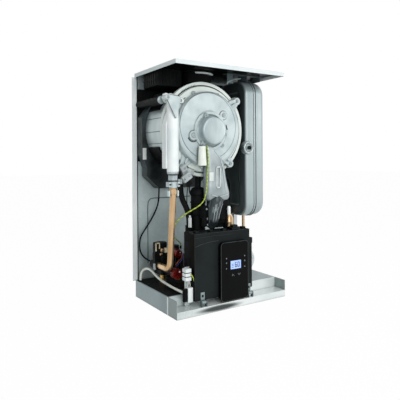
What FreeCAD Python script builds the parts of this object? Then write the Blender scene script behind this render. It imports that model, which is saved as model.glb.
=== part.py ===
"""Wall-hung condensing gas boiler with its front and side covers taken off.

Millimetres. The boiler stands on its base pan, +Z up, with its front towards -Y. The origin is under the
middle of the case. Places are measured from the left side, the front plane and the bottom of the case.
"""
import FreeCAD
import Part
import Sketcher
import math
import operator
import os
from FreeCAD import Rotation, Vector

SIZES = {
    # sheet-metal case
    "case_width": 390.0,
    "case_depth": 260.0,
    "case_height": 700.0,
    "sheet_gauge": 1.0,
    "top_flange": 12.0,
    "wing_reach": 10.0,
    "wing_overlap": 6.0,
    "wing_joggle": 2.0,
    "pan_height": 51.0,
    "shelf_depth": 48.0,
    "shelf_height": 20.0,
    "pan_slit": 1.5,
    "tongue_depth": 12.0,
    "tongue_inset": 20.0,
    "slot_length": 20.0,
    "slot_width": 8.5,
    "slot_spacing": 240.0,
    "slot_drop": 45.0,
    # gaps
    "fit_gap": 0.3,
    "running_gap": 0.05,
    "hole_gap": 2.0,
    # heat exchanger drum, ring and rear collector
    "drum_from_left": 148.0,
    "drum_drop": 52.0,
    "drum_radius": 128.0,
    "drum_wall": 4.0,
    "ring_setback": 88.0,
    "ring_thickness": 14.0,
    "ring_overhang": 14.0,
    "ring_lap": 16.0,
    "groove_offset": 3.0,
    "groove_width": 3.0,
    "groove_depth": 3.0,
    "ear_radius": 13.0,
    "upper_ear_offset": 7.0,
    "lower_ear_inset": 4.0,
    "ear_top_left": 145.0,
    "ear_top_right": 37.5,
    "ear_bottom_right": 311.0,
    "ear_bottom_left": 233.0,
    "collector_depth": 36.0,
    "collector_margin": 12.0,
    "neck_inset": 4.0,
    "rise_inset": 8.0,
    "crown_inset": 50.0,
    "shoulder_inset": 88.0,
    "waist_inset": 53.0,
    "neck_upper_inset": 13.0,
    "neck_lower_margin": 14.0,
    "sump_left_inset": 46.0,
    "sump_right_inset": 68.0,
    "sump_margin": 53.0,
    "coil_depth": 50.0,
    "coil_gap": 12.0,
    "coil_rib": 8.0,
    "coil_start_gap": 4.0,
    # burner door, burner and insulation
    "door_margin": 1.0,
    "door_thickness": 6.0,
    "door_hole": 30.0,
    "burner_radius": 35.0,
    "burner_end_gap": 38.0,
    "burner_wall": 1.5,
    "insulation_thickness": 12.0,
    # fan
    "fan_shift": 4.0,
    "fan_drop": 6.0,
    "housing_margin": 26.0,
    "housing_depth": 20.0,
    "housing_wall": 3.0,
    "boss_radius": 57.0,
    "boss_height": 4.0,
    "cap_base": 49.0,
    "cap_front": 40.0,
    "cap_depth": 26.0,
    "cap_wall": 2.0,
    "motor_radius": 34.0,
    "motor_length": 22.0,
    "shaft_radius": 4.0,
    "shaft_reach": 16.0,
    "fan_radius": 74.0,
    "fan_eye": 40.0,
    "fan_width": 10.0,
    "fan_plate": 2.0,
    "fan_hub": 12.0,
    "blade_gauge": 2.5,
    # mixing duct, gas valve, gas pipe, electrode
    "duct_left": 137.0,
    "duct_base_width": 80.0,
    "duct_top_width": 53.0,
    "duct_front": 47.0,
    "duct_base_drop": 212.0,
    "duct_top_drop": 74.0,
    "duct_round": 11.0,
    "valve_from_left": 152.0,
    "valve_width": 66.0,
    "valve_front": 52.0,
    "valve_depth": 36.0,
    "valve_height": 68.0,
    "valve_round": 8.0,
    "governor_radius": 22.0,
    "governor_length": 12.0,
    "valve_coil_width": 24.0,
    "valve_coil_depth": 30.0,
    "valve_coil_height": 36.0,
    "gas_pipe_radius": 7.5,
    "gas_pipe_setback": 80.0,
    "gas_inlet_drop": 46.0,
    "gas_run_height": 74.0,
    "gas_bend": 18.0,
    "boot_from_left": 115.0,
    "boot_drop": 108.0,
    "boot_length": 56.0,
    "boot_wide": 13.0,
    "boot_narrow": 10.0,
    "electrode_radius": 3.0,
    # flue, silencer, support tube, cross brace
    "flue_from_left": 160.0,
    "flue_setback": 156.0,
    "flue_radius": 50.0,
    "flue_wall": 2.5,
    "flue_seat_depth": 50.0,
    "flue_flange": 62.0,
    "flue_flange_thickness": 4.0,
    "flue_port": 40.0,
    "silencer_from_left": 12.0,
    "silencer_width": 84.0,
    "silencer_setback": 130.0,
    "silencer_depth": 94.0,
    "silencer_drop": 51.0,
    "silencer_rib": 6.0,
    "silencer_groove": 4.0,
    "support_from_left": 14.5,
    "support_rise": 82.0,
    "support_radius": 12.0,
    "support_setback": 112.0,
    "brace_from_right": 4.0,
    "brace_length": 148.0,
    "brace_setback": 92.0,
    "brace_depth": 24.0,
    "brace_gauge": 2.0,
    "brace_tab_width": 22.0,
    "brace_tab_drop": 31.0,
    "brace_leg_depth": 48.0,
    # water manifold, union, flow pipe
    "manifold_from_left": 26.0,
    "manifold_setback": 64.0,
    "manifold_radius": 17.0,
    "manifold_drop": 125.0,
    "manifold_rise": 80.0,
    "manifold_dome": 8.0,
    "bracket_gauge": 4.0,
    "bracket_boss": 9.0,
    "rail_from_left": 4.0,
    "rail_width": 9.0,
    "rail_drop": 116.0,
    "rail_rise": 60.0,
    "union_radius": 12.0,
    "union_length": 45.0,
    "clamp_width": 36.0,
    "clamp_depth": 16.0,
    "clamp_height": 14.0,
    "clamp_rise": 3.0,
    "pipe_radius": 9.0,
    "pipe_wall": 1.0,
    "flow_lean": 20.0,
    "flow_knee": 28.0,
    "flow_turn_height": 115.0,
    "flow_bend": 24.0,
    "clip_radius": 11.5,
    "flow_clip_drop": 18.0,
    "flow_clip_length": 14.0,
    "return_clip_height": 245.0,
    "return_clip_length": 26.0,
    "sensor_from_left": 58.0,
    "sensor_width": 28.0,
    "sensor_depth": 26.0,
    "sensor_offset": 6.0,
    "sensor_height": 32.0,
    # flow block with diverter, safety valve and sensor
    "block_from_left": 34.0,
    "block_width": 76.0,
    "block_setback": 150.0,
    "block_depth": 50.0,
    "block_base": 84.0,
    "block_height": 58.0,
    "block_round": 6.0,
    "port_radius": 13.0,
    "port_length": 36.0,
    "actuator_from_left": 46.0,
    "actuator_setback": 175.0,
    "actuator_radius": 17.0,
    "actuator_height": 36.0,
    "stem_radius": 3.0,
    "stem_length": 50.0,
    "stem_head": 8.0,
    "stem_head_height": 8.0,
    "stem_travel": 6.0,
    "chamber_radius": 10.0,
    "chamber_depth": 38.0,
    "safety_from_left": 50.0,
    "safety_height": 100.0,
    "safety_radius": 12.0,
    "safety_length": 50.0,
    "knob_radius": 15.5,
    "knob_length": 17.5,
    "knob_web": 5.0,
    "knob_scallop": 3.0,
    "spindle_radius": 4.0,
    "pressure_from_left": 92.0,
    "pressure_setback": 166.0,
    "pressure_radius": 10.0,
    "pressure_height": 25.0,
    "stud_from_left": 104.0,
    "stud_setback": 156.0,
    "stud_radius": 3.0,
    "stud_height": 23.0,
    # plate exchanger, pump, tails
    "plates_setback": 165.0,
    "plates_depth": 40.0,
    "plates_base": 92.0,
    "plates_height": 46.0,
    "plates_groove": 2.0,
    "pump_from_left": 272.0,
    "pump_width": 90.0,
    "pump_setback": 150.0,
    "pump_depth": 60.0,
    "pump_base": 66.0,
    "pump_height": 84.0,
    "pump_axis_from_left": 312.0,
    "pump_axis_height": 106.0,
    "volute_radius": 27.0,
    "volute_depth": 22.0,
    "rotor_radius": 24.0,
    "rotor_eye": 10.0,
    "rotor_width": 12.0,
    "rotor_plate": 3.0,
    "rotor_gap": 4.0,
    "rotor_shaft": 40.0,
    "pump_motor_radius": 36.0,
    "pump_motor_length": 56.0,
    "pump_motor_round": 6.0,
    "tail_from_left": 60.0,
    "tail_spacing": 60.0,
    "tail_setback": 190.0,
    "tail_lift": 4.0,
    "tail_radius_wide": 13.2,
    "tail_radius_narrow": 9.5,
    "gas_tail_height": 26.0,
    "tail_step": 3.0,
    # return pipe
    "return_from_left": 290.0,
    "return_setback": 165.0,
    "return_angle": 50.0,
    "return_bend": 30.0,
    # expansion vessel
    "vessel_from_right": 5.0,
    "vessel_thickness": 83.0,
    "vessel_setback": 82.0,
    "vessel_depth": 165.0,
    "vessel_top_gap": 17.0,
    "vessel_lift": 96.0,
    "vessel_wall": 1.5,
    "vessel_round": 14.0,
    "vessel_corner": 45.0,
    "diaphragm_gauge": 2.0,
    "vessel_valve_inset": 9.0,
    "vessel_valve_drop": 216.0,
    "vessel_valve_radius": 6.0,
    "vessel_valve_length": 4.0,
    "dimple_radius": 17.0,
    "dimple_rise": 5.0,
    "dimple_depth": 26.0,
    "vessel_pipe_from_right": 38.0,
    "vessel_pipe_setback": 160.0,
    "vessel_pipe_radius": 5.0,
    # condensate trap and hose
    "trap_from_left": 140.0,
    "trap_setback": 112.0,
    "trap_radius": 22.0,
    "trap_base": 190.0,
    "trap_drop": 185.0,
    "trap_neck": 9.0,
    "trap_spigot": 8.0,
    "arm_offset": 31.5,
    "arm_radius": 12.0,
    "arm_base": 207.0,
    "arm_height": 25.0,
    "drain_from_left": 88.0,
    "drain_setback": 128.0,
    "drain_radius": 7.0,
    "drain_drop": 164.0,
    "hose_radius": 8.5,
    # control box and display
    "box_from_left": 65.0,
    "box_width": 196.0,
    "box_setback": 13.0,
    "cover_depth": 27.0,
    "tray_depth": 30.0,
    "box_base": 34.0,
    "box_top": 222.0,
    "tray_base": 54.0,
    "box_wall": 2.5,
    "box_round": 4.0,
    "board_inset": 8.0,
    "board_gauge": 1.6,
    "post_radius": 3.0,
    "post_length": 14.0,
    "post_inset": 14.0,
    "panel_from_left": 145.0,
    "panel_width": 100.0,
    "panel_setback": 1.0,
    "panel_base": 22.0,
    "panel_height": 170.0,
    "panel_round": 14.0,
    "panel_edge": 2.5,
    "window_from_left": 180.0,
    "window_width": 37.0,
    "window_base": 112.0,
    "window_height": 24.0,
    "window_gauge": 1.5,
    "window_gap": 0.15,
    "clip_from_left": 200.0,
    "clip_width": 18.0,
    "clip_height": 14.0,
    "clip_depth": 16.0,
    # hinge of the control box
    "hinge_setback": 6.5,
    "hinge_height": 31.5,
    "pin_radius": 2.5,
    "knuckle_radius": 4.5,
    "lug_radius": 5.5,
    "lug_gauge": 2.0,
    "lug_gap": 0.4,
    "strap_width": 13.0,
    "strap_gauge": 1.5,
    "strap_top": 58.0,
    "strap_web": 5.0,
    "strap_window": 7.0,
    "left_strap": 90.0,
    "right_strap": 254.5,
    # terminals, glands and cords
    "tab_from_left": 47.0,
    "tab_width": 16.0,
    "tab_setback": 38.0,
    "tab_top": 129.0,
    "terminal_from_left": 40.0,
    "terminal_width": 18.0,
    "terminal_depth": 18.0,
    "terminal_base": 94.0,
    "terminal_height": 33.0,
    "plug_width": 16.0,
    "plug_base": 34.0,
    "plug_height": 40.0,
    "sleeve_from_left": 34.0,
    "sleeve_width": 13.0,
    "sleeve_setback": 18.0,
    "sleeve_depth": 13.0,
    "sleeve_base": 38.0,
    "sleeve_height": 34.0,
    "grommet_from_left": 8.5,
    "grommet_setback": 241.0,
    "grommet_radius": 7.0,
    "grommet_neck": 5.5,
    "grommet_height": 3.0,
    "cable_radius": 3.75,
    "lead_radius": 2.5,
    "wire_radius": 1.75,
    "lead_end": 107.0,
    "wire_drop": 50.0,
    "wire_lift": 9.0,
    # least turn of a hose or cord, in diameters
    "least_turn": 3.0,
}

COUNTS = {"fan_blades": 16, "rotor_blades": 7, "coil_ribs": 10, "plate_grooves": 9, "silencer_grooves": 6}

doc = FreeCAD.newDocument("gas_boiler")
sheet = doc.addObject("Spreadsheet::Sheet", "Sizes")
pieces = {}

OPERATIONS = {"+": operator.add, "-": operator.sub, "*": operator.mul, "/": operator.truediv}
ALONG = {
    "x": Rotation(Vector(0, 0, 1), Vector(1, 0, 0)),
    "y": Rotation(Vector(0, 0, 1), Vector(0, 1, 0)),
    "z": Rotation(),
}


class Size:
    """A length that knows both its number and the sheet formula that gives it."""

    def __init__(self, number, formula):
        self.number = number
        self.formula = formula

    def __add__(self, other):
        return combined(self, "+", other)

    def __radd__(self, other):
        return combined(other, "+", self)

    def __sub__(self, other):
        return combined(self, "-", other)

    def __rsub__(self, other):
        return combined(other, "-", self)

    def __mul__(self, other):
        return combined(self, "*", other)

    def __rmul__(self, other):
        return combined(other, "*", self)

    def __truediv__(self, other):
        return combined(self, "/", other)

    def __neg__(self):
        return combined(0, "-", self)


def as_size(value):
    if isinstance(value, Size):
        return value
    return Size(float(value), repr(float(value)))


def combined(first, sign, second):
    first = as_size(first)
    second = as_size(second)
    number = OPERATIONS[sign](first.number, second.number)
    return Size(number, f"({first.formula} {sign} {second.formula})")


def cosine(angle):
    return Size(math.cos(math.radians(angle.number)), f"cos({angle.formula} * 1 deg)")


def sine(angle):
    return Size(math.sin(math.radians(angle.number)), f"sin({angle.formula} * 1 deg)")


class Sheet:
    """The driving dimensions, one attribute each."""


def fill_sheet():
    values = Sheet()
    for row, (name, number) in enumerate(SIZES.items(), start=1):
        sheet.set(f"A{row}", name)
        sheet.set(f"B{row}", str(number))
        sheet.setAlias(f"B{row}", name)
        setattr(values, name, Size(number, "Sizes." + name))
    doc.recompute()
    return values


S = fill_sheet()
LEFT = -S.case_width / 2
FRONT = -S.case_depth / 2


def spot(from_left, setback, height):
    """A point given from the case's left side, front plane and bottom."""
    return (LEFT + from_left, FRONT + setback, as_size(height))


def numbers(point):
    return Vector(*[as_size(value).number for value in point])


def bind(thing, prop, value):
    thing.setExpression(prop, as_size(value).formula)


def place(thing, point, along="z"):
    thing.Placement = FreeCAD.Placement(Vector(), ALONG[along])
    for axis, value in zip("xyz", point):
        bind(thing, "Placement.Base." + axis, value)
    return thing


def block(corner, width, depth, height):
    """A box from its lower left front corner."""
    box = doc.addObject("Part::Box", "Block")
    for prop, value in (("Length", width), ("Width", depth), ("Height", height)):
        bind(box, prop, value)
    return place(box, corner)


def rod(start, radius, length, along="y"):
    """A cylinder from the middle of its first end."""
    cylinder = doc.addObject("Part::Cylinder", "Rod")
    bind(cylinder, "Radius", radius)
    bind(cylinder, "Height", length)
    return place(cylinder, start, along)


def taper(start, first_radius, last_radius, length, along="z"):
    cone = doc.addObject("Part::Cone", "Taper")
    bind(cone, "Radius1", first_radius)
    bind(cone, "Radius2", last_radius)
    bind(cone, "Height", length)
    return place(cone, start, along)


def join(*things):
    fuse = doc.addObject("Part::MultiFuse", "Join")
    fuse.Shapes = list(things)
    fuse.Refine = True
    return fuse


def group(*things):
    """Separate solids kept side by side in one piece."""
    compound = doc.addObject("Part::Compound", "Group")
    compound.Links = list(things)
    return compound


def cut(base, *tools):
    result = doc.addObject("Part::Cut", "Cut")
    result.Base = base
    result.Tool = tools[0] if len(tools) == 1 else join(*tools)
    return result


def rounded(thing, radius, wanted):
    """Rounds the edges whose direction and middle point pass the test."""
    doc.recompute()
    fillet = doc.addObject("Part::Fillet", "Rounded")
    fillet.Base = thing
    chosen = []
    for number, edge in enumerate(thing.Shape.Edges, start=1):
        middle = (edge.FirstParameter + edge.LastParameter) / 2
        if wanted(edge.tangentAt(middle), edge.valueAt(middle)):
            chosen.append((number, radius.number, radius.number))
    fillet.Edges = chosen
    return fillet


def runs_along(axis):
    return lambda direction, middle: abs(getattr(direction, axis)) > 0.99


def sketch_on(body, role):
    plane = [feature for feature in body.Origin.OriginFeatures if feature.Role == role][0]
    sketch = body.newObject("Sketcher::SketchObject", "Outline")
    sketch.AttachmentSupport = (plane, [""])
    sketch.MapMode = "FlatFace"
    return sketch


def draw(sketch, outline):
    """A closed polygon whose corners are each held by two bound distances from the origin."""
    corners = [(as_size(across), as_size(up)) for across, up in outline]
    count = len(corners)
    for number in range(count):
        ends = [Vector(a.number, b.number, 0) for a, b in (corners[number], corners[(number + 1) % count])]
        sketch.addGeometry(Part.LineSegment(*ends), False)
    for number in range(count):
        sketch.addConstraint(Sketcher.Constraint("Coincident", number, 2, (number + 1) % count, 1))
    for number, corner in enumerate(corners):
        for kind, value in zip(("DistanceX", "DistanceY"), corner):
            index = sketch.addConstraint(Sketcher.Constraint(kind, -1, 1, number, 1, value.number))
            sketch.setExpression(f"Constraints[{index}]", value.formula)


def turned(outline, centre, along="y"):
    """A body turned from an outline of (radius, distance along the axis) corners."""
    body = doc.addObject("PartDesign::Body", "Turned")
    sketch = sketch_on(body, "XZ_Plane")
    draw(sketch, outline)
    turn = body.newObject("PartDesign::Revolution", "Turn")
    turn.Profile = sketch
    turn.ReferenceAxis = (sketch, ["V_Axis"])
    turn.Angle = 360
    return place(body, centre, along)


def slab(outline, thickness, corner):
    """A body padded towards the back from an outline in a plane parallel to the front."""
    body = doc.addObject("PartDesign::Body", "Slab")
    sketch = sketch_on(body, "XZ_Plane")
    draw(sketch, outline)
    pad = body.newObject("PartDesign::Pad", "Pad")
    pad.Profile = sketch
    pad.Reversed = True
    bind(pad, "Length", thickness)
    return place(body, corner)


def impeller(outline, blade, blade_start, blade_width, count, centre):
    """A turned hub, plate and shaft with blades set round it."""
    body = turned(outline, centre)
    sketch = sketch_on(body, "XY_Plane")
    bind(sketch, "AttachmentOffset.Base.z", blade_start)
    draw(sketch, blade)
    pad = body.newObject("PartDesign::Pad", "Blade")
    pad.Profile = sketch
    bind(pad, "Length", blade_width)
    doc.recompute()
    pattern = body.newObject("PartDesign::PolarPattern", "Blades")
    pattern.Originals = [pad]
    pattern.Axis = (sketch, ["N_Axis"])
    pattern.Angle = 360
    pattern.Occurrences = count
    body.Tip = pattern
    return body


def rectangle(corner, width, depth):
    x, y = corner
    return [(x, y), (x + width, y), (x + width, y + depth), (x, y + depth)]


def bent_path(points, radii):
    """Straight runs joined by tangent arcs, one arc for each inner point."""
    edges = []
    start = points[0]
    for before, corner, after, radius in zip(points, points[1:], points[2:], radii):
        arrive = (corner - before).normalize()
        leave = (after - corner).normalize()
        turn = arrive.getAngle(leave)
        back_off = radius * math.tan(turn / 2)
        first = corner - arrive * back_off
        last = corner + leave * back_off
        inward = (leave - arrive).normalize()
        middle = corner + inward * (radius / math.cos(turn / 2) - radius)
        if (first - start).Length > 1e-6:
            edges.append(Part.LineSegment(start, first).toShape())
        edges.append(Part.Arc(first, middle, last).toShape())
        start = last
    edges.append(Part.LineSegment(start, points[-1]).toShape())
    return Part.Wire(edges)


def swept(path, radius):
    first = path.Edges[0]
    normal = first.tangentAt(first.FirstParameter)
    section = Part.Wire(Part.makeCircle(radius, first.valueAt(first.FirstParameter), normal))
    return path.makePipeShell([section], True, False)


def bent_pipe(name, points, bends, radius, wall):
    """A drawn pipe with its bore, along straight runs and bends."""
    path = bent_path([numbers(point) for point in points], [bend.number for bend in bends])
    shape = swept(path, radius.number).cut(swept(path, radius.number - wall.number))
    pipe = doc.addObject("Part::Feature", name)
    pipe.Shape = shape
    return pipe


def cord(name, points, radius):
    """A flexible cord: each arc as large as the two runs beside it allow."""
    route = [numbers(point) for point in points]
    radii = []
    for before, corner, after in zip(route, route[1:], route[2:]):
        turn = (corner - before).getAngle(after - corner)
        shorter = min((corner - before).Length, (after - corner).Length)
        radii.append(0.45 * shorter / math.tan(turn / 2))
    path = bent_path(route, radii)
    solid = swept(path, radius.number)
    section = math.pi * radius.number ** 2
    print(f"{name}: length {path.Length:.0f}, radii {[round(value) for value in radii]},",
          f"volume share {solid.Volume / (section * path.Length):.3f}")
    if min(radii) < S.least_turn.number * 2 * radius.number:
        print(f"{name}: a turn is under {S.least_turn.number} diameters")
    thing = doc.addObject("Part::Feature", name)
    thing.Shape = solid
    return thing


def piece(label, thing):
    thing.Label = label
    pieces[label] = thing
    return thing


# Planes and heights that several pieces share
BACK_FACE = S.case_depth - S.sheet_gauge
LID_FACE = S.case_height - S.sheet_gauge
COLLECTOR_FACE = BACK_FACE - S.collector_depth
RING_BACK = S.ring_setback + S.ring_thickness
DOOR_FACE = S.ring_setback - S.door_thickness
HOUSING_FACE = DOOR_FACE - S.housing_depth
COVER_BACK = S.box_setback + S.cover_depth
TRAY_BACK = COVER_BACK + S.tray_depth
BLOCK_TOP = S.block_base + S.block_height
PUMP_TOP = S.pump_base + S.pump_height
VESSEL_TOP = LID_FACE - S.vessel_top_gap
VESSEL_BASE = PUMP_TOP + S.vessel_lift
VESSEL_HEIGHT = VESSEL_TOP - VESSEL_BASE
VESSEL_LEFT = S.case_width - S.vessel_from_right - S.vessel_thickness
DRUM_HEIGHT = S.case_height - S.drum_drop - S.drum_radius
RING_RADIUS = S.drum_radius + S.ring_overhang
RING_BORE = S.drum_radius - S.ring_lap
UPPER_EAR = RING_RADIUS + S.upper_ear_offset
LOWER_EAR = RING_RADIUS - S.lower_ear_inset
SUMP_DEPTH = S.drum_radius + S.sump_margin
HOUSING_RADIUS = S.drum_radius - S.housing_margin
MANIFOLD_BASE = DRUM_HEIGHT - S.manifold_drop
MANIFOLD_TOP = DRUM_HEIGHT + S.manifold_rise
DUCT_BASE = DRUM_HEIGHT - S.duct_base_drop
DUCT_TOP = DRUM_HEIGHT - S.duct_top_drop
DRAIN_END = DRUM_HEIGHT - S.drain_drop
VALVE_BASE = DUCT_BASE - S.valve_height
UNION_BASE = MANIFOLD_BASE - S.union_length


def tail_place(number):
    return S.tail_from_left + S.tail_spacing * number


def make_case():
    gauge = S.sheet_gauge
    wide = S.case_width
    wing_face = S.case_depth - S.wing_joggle - gauge
    wing_rise = S.case_height - S.top_flange - S.pan_height
    inner = S.wing_overlap - gauge
    sheets = [block(spot(inner, BACK_FACE, 0), wide - 2 * inner, gauge, LID_FACE)]
    for wing, step in ((-S.wing_reach, inner), (wide - S.wing_overlap, wide - S.wing_overlap)):
        corner = spot(wing, wing_face, S.pan_height)
        sheets.append(block(corner, S.wing_reach + S.wing_overlap, gauge, wing_rise))
        sheets.append(block(spot(step, wing_face, S.pan_height), gauge, S.wing_joggle + gauge, wing_rise))
    slots = []
    for side in (-0.5, 0.5):
        middle = wide / 2 + S.slot_spacing * side
        straight = S.slot_length - S.slot_width
        height = S.case_height - S.slot_drop
        slots.append(block(spot(middle - straight / 2, BACK_FACE - gauge, height - S.slot_width / 2),
                           straight, gauge * 3, S.slot_width))
        for end in (-0.5, 0.5):
            round_end = spot(middle + straight * end, BACK_FACE - gauge, height)
            slots.append(rod(round_end, S.slot_width / 2, gauge * 3))
    piece("back_panel", cut(join(*sheets), *slots))

    flange_base = S.case_height - S.top_flange
    lid = join(
        block(spot(0, 0, LID_FACE), wide, S.case_depth, gauge),
        block(spot(0, 0, flange_base), wide, gauge, S.top_flange),
        block(spot(0, 0, flange_base), gauge, S.case_depth, S.top_flange),
        block(spot(wide - gauge, 0, flange_base), gauge, S.case_depth, S.top_flange),
    )
    hole = S.flue_radius + S.fit_gap
    flue_hole = rod(spot(S.flue_from_left, S.flue_setback, LID_FACE - gauge), hole, gauge * 3, "z")
    piece("top_panel", cut(lid, flue_hole))

    start = S.shelf_depth + S.pan_slit
    depth = BACK_FACE - start
    floor = S.pan_height - gauge
    pan = join(
        block(spot(0, start, floor), wide, depth, gauge),
        block(spot(0, start, 0), gauge, depth, S.pan_height),
        block(spot(wide - gauge, start, 0), gauge, depth, S.pan_height),
        block(spot(0, BACK_FACE - gauge, 0), wide, gauge, S.pan_height),
    )
    tail_hole = S.tail_radius_wide + S.hole_gap
    openings = [(tail_place(number), S.tail_setback, tail_hole) for number in range(5)]
    openings.append((S.trap_from_left, S.trap_setback, S.trap_spigot + S.hole_gap))
    openings.append((S.grommet_from_left, S.grommet_setback, S.grommet_neck + S.fit_gap))
    holes = [rod(spot(x, y, floor - gauge), radius, gauge * 3, "z") for x, y, radius in openings]
    piece("base_pan", cut(pan, *holes))

    shelf = S.shelf_height - gauge
    tongue = wide - 2 * S.tongue_inset
    piece("front_channel", join(
        block(spot(0, 0, shelf), wide, S.shelf_depth, gauge),
        block(spot(0, 0, 0), wide, gauge, S.shelf_height),
        block(spot(0, 0, 0), gauge, S.shelf_depth, S.pan_height),
        block(spot(wide - gauge, 0, 0), gauge, S.shelf_depth, S.pan_height),
        block(spot(0, S.shelf_depth - gauge, shelf), wide, gauge, S.pan_height - shelf),
        block(spot(S.tongue_inset, S.shelf_depth - gauge, floor - gauge), tongue, S.tongue_depth, gauge),
        block(spot(S.tab_from_left, S.tab_setback, shelf), S.tab_width, S.strap_gauge, S.tab_top - shelf),
    ))

    brace_left = wide - S.brace_from_right - S.brace_length
    leg = LID_FACE - VESSEL_TOP
    legs = [VESSEL_LEFT + S.vessel_round, wide - S.vessel_from_right - S.vessel_round - S.brace_gauge]
    strap = [block(spot(brace_left, S.brace_setback, LID_FACE - S.brace_gauge),
                   S.brace_length, S.brace_depth, S.brace_gauge)]
    for x in legs:
        strap.append(block(spot(x, S.brace_setback, VESSEL_TOP), S.brace_gauge, S.brace_leg_depth, leg))
    strap.append(block(spot(brace_left, S.brace_setback, LID_FACE - S.brace_tab_drop),
                       S.brace_tab_width, S.brace_gauge, S.brace_tab_drop))
    piece("cross_brace", join(*strap))


def drum_axis(setback):
    return spot(S.drum_from_left, setback, DRUM_HEIGHT)


def fan_axis(setback):
    return spot(S.drum_from_left + S.fan_shift, setback, DRUM_HEIGHT - S.fan_drop)


def make_exchanger():
    length = COLLECTOR_FACE - RING_BACK
    drain_rise = DRUM_HEIGHT - S.drum_radius / 2 - DRAIN_END
    outside = join(
        rod(drum_axis(RING_BACK), S.drum_radius, length),
        rod(spot(S.drain_from_left, S.drain_setback, DRAIN_END), S.drain_radius, drain_rise, "z"),
    )
    bore = rod(drum_axis(RING_BACK - 1), S.drum_radius - S.drum_wall, length + 2)
    port = rod(spot(S.flue_from_left, S.flue_setback, DRUM_HEIGHT), S.flue_port, S.drum_radius * 1.2, "z")
    piece("exchanger_drum", cut(outside, bore, port))

    ears = []
    for reach, angle in (
        (UPPER_EAR, S.ear_top_left),
        (UPPER_EAR, S.ear_top_right),
        (LOWER_EAR, S.ear_bottom_right),
        (LOWER_EAR, S.ear_bottom_left),
    ):
        across = S.drum_from_left + reach * cosine(angle)
        up = DRUM_HEIGHT + reach * sine(angle)
        ears.append(rod(spot(across, S.ring_setback, up), S.ear_radius, S.ring_thickness))
    disc = join(rod(drum_axis(S.ring_setback), RING_RADIUS, S.ring_thickness), *ears)
    groove_radius = S.drum_radius + S.groove_offset
    groove = cut(
        rod(drum_axis(S.ring_setback), groove_radius + S.groove_width / 2, S.groove_depth),
        rod(drum_axis(S.ring_setback), groove_radius - S.groove_width / 2, S.groove_depth),
    )
    piece("front_ring", cut(disc, rod(drum_axis(S.ring_setback), RING_BORE, S.ring_thickness), groove))

    half = S.drum_radius + S.collector_margin
    neck = S.drum_radius - S.neck_inset
    upper = S.drum_radius - S.neck_upper_inset
    waist = S.drum_radius - S.waist_inset
    shoulder = S.drum_radius - S.shoulder_inset
    crown = S.drum_radius - S.crown_inset
    rise = S.drum_radius - S.rise_inset
    piece("rear_collector", slab([
        (-half, -waist),
        (-neck, -upper),
        (-neck, -S.drum_radius - S.neck_lower_margin),
        (-S.drum_radius + S.sump_left_inset, -SUMP_DEPTH),
        (S.drum_radius - S.sump_right_inset, -SUMP_DEPTH),
        (neck, -upper),
        (half, -waist),
        (half, shoulder),
        (crown, rise),
        (-crown, rise),
        (-half, shoulder),
    ], S.collector_depth, drum_axis(COLLECTOR_FACE)))

    start = S.ring_setback + S.insulation_thickness + S.coil_start_gap
    pitch = (COLLECTOR_FACE - start) / COUNTS["coil_ribs"]
    outer = S.drum_radius - S.drum_wall - S.coil_gap
    valley = outer - S.coil_rib
    ribs = []
    for number in range(COUNTS["coil_ribs"]):
        ribs += [(outer, pitch * number), (outer, pitch * (number + 0.6))]
        ribs += [(valley, pitch * (number + 0.7)), (valley, pitch * (number + 0.9))]
    ribs[-1] = (valley, COLLECTOR_FACE - start)
    inner = outer - S.coil_depth
    outline = [(inner, 0)] + ribs + [(inner, COLLECTOR_FACE - start)]
    piece("exchanger_coil", turned(outline, drum_axis(start)))


def make_burner():
    door = rod(drum_axis(DOOR_FACE), S.drum_radius - S.door_margin, S.door_thickness)
    piece("burner_door", cut(door, rod(drum_axis(DOOR_FACE - 1), S.door_hole, S.door_thickness + 2)))

    length = COLLECTOR_FACE - S.ring_setback - S.burner_end_gap
    tube = rod(drum_axis(S.ring_setback), S.burner_radius, length)
    bore = rod(drum_axis(S.ring_setback), S.burner_radius - S.burner_wall, length - S.burner_wall)
    piece("burner_tube", cut(tube, bore))

    pad = rod(drum_axis(S.ring_setback), RING_BORE - S.fit_gap, S.insulation_thickness)
    hole = rod(drum_axis(S.ring_setback), S.burner_radius + S.fit_gap, S.insulation_thickness)
    piece("burner_insulation", cut(pad, hole))


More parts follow.
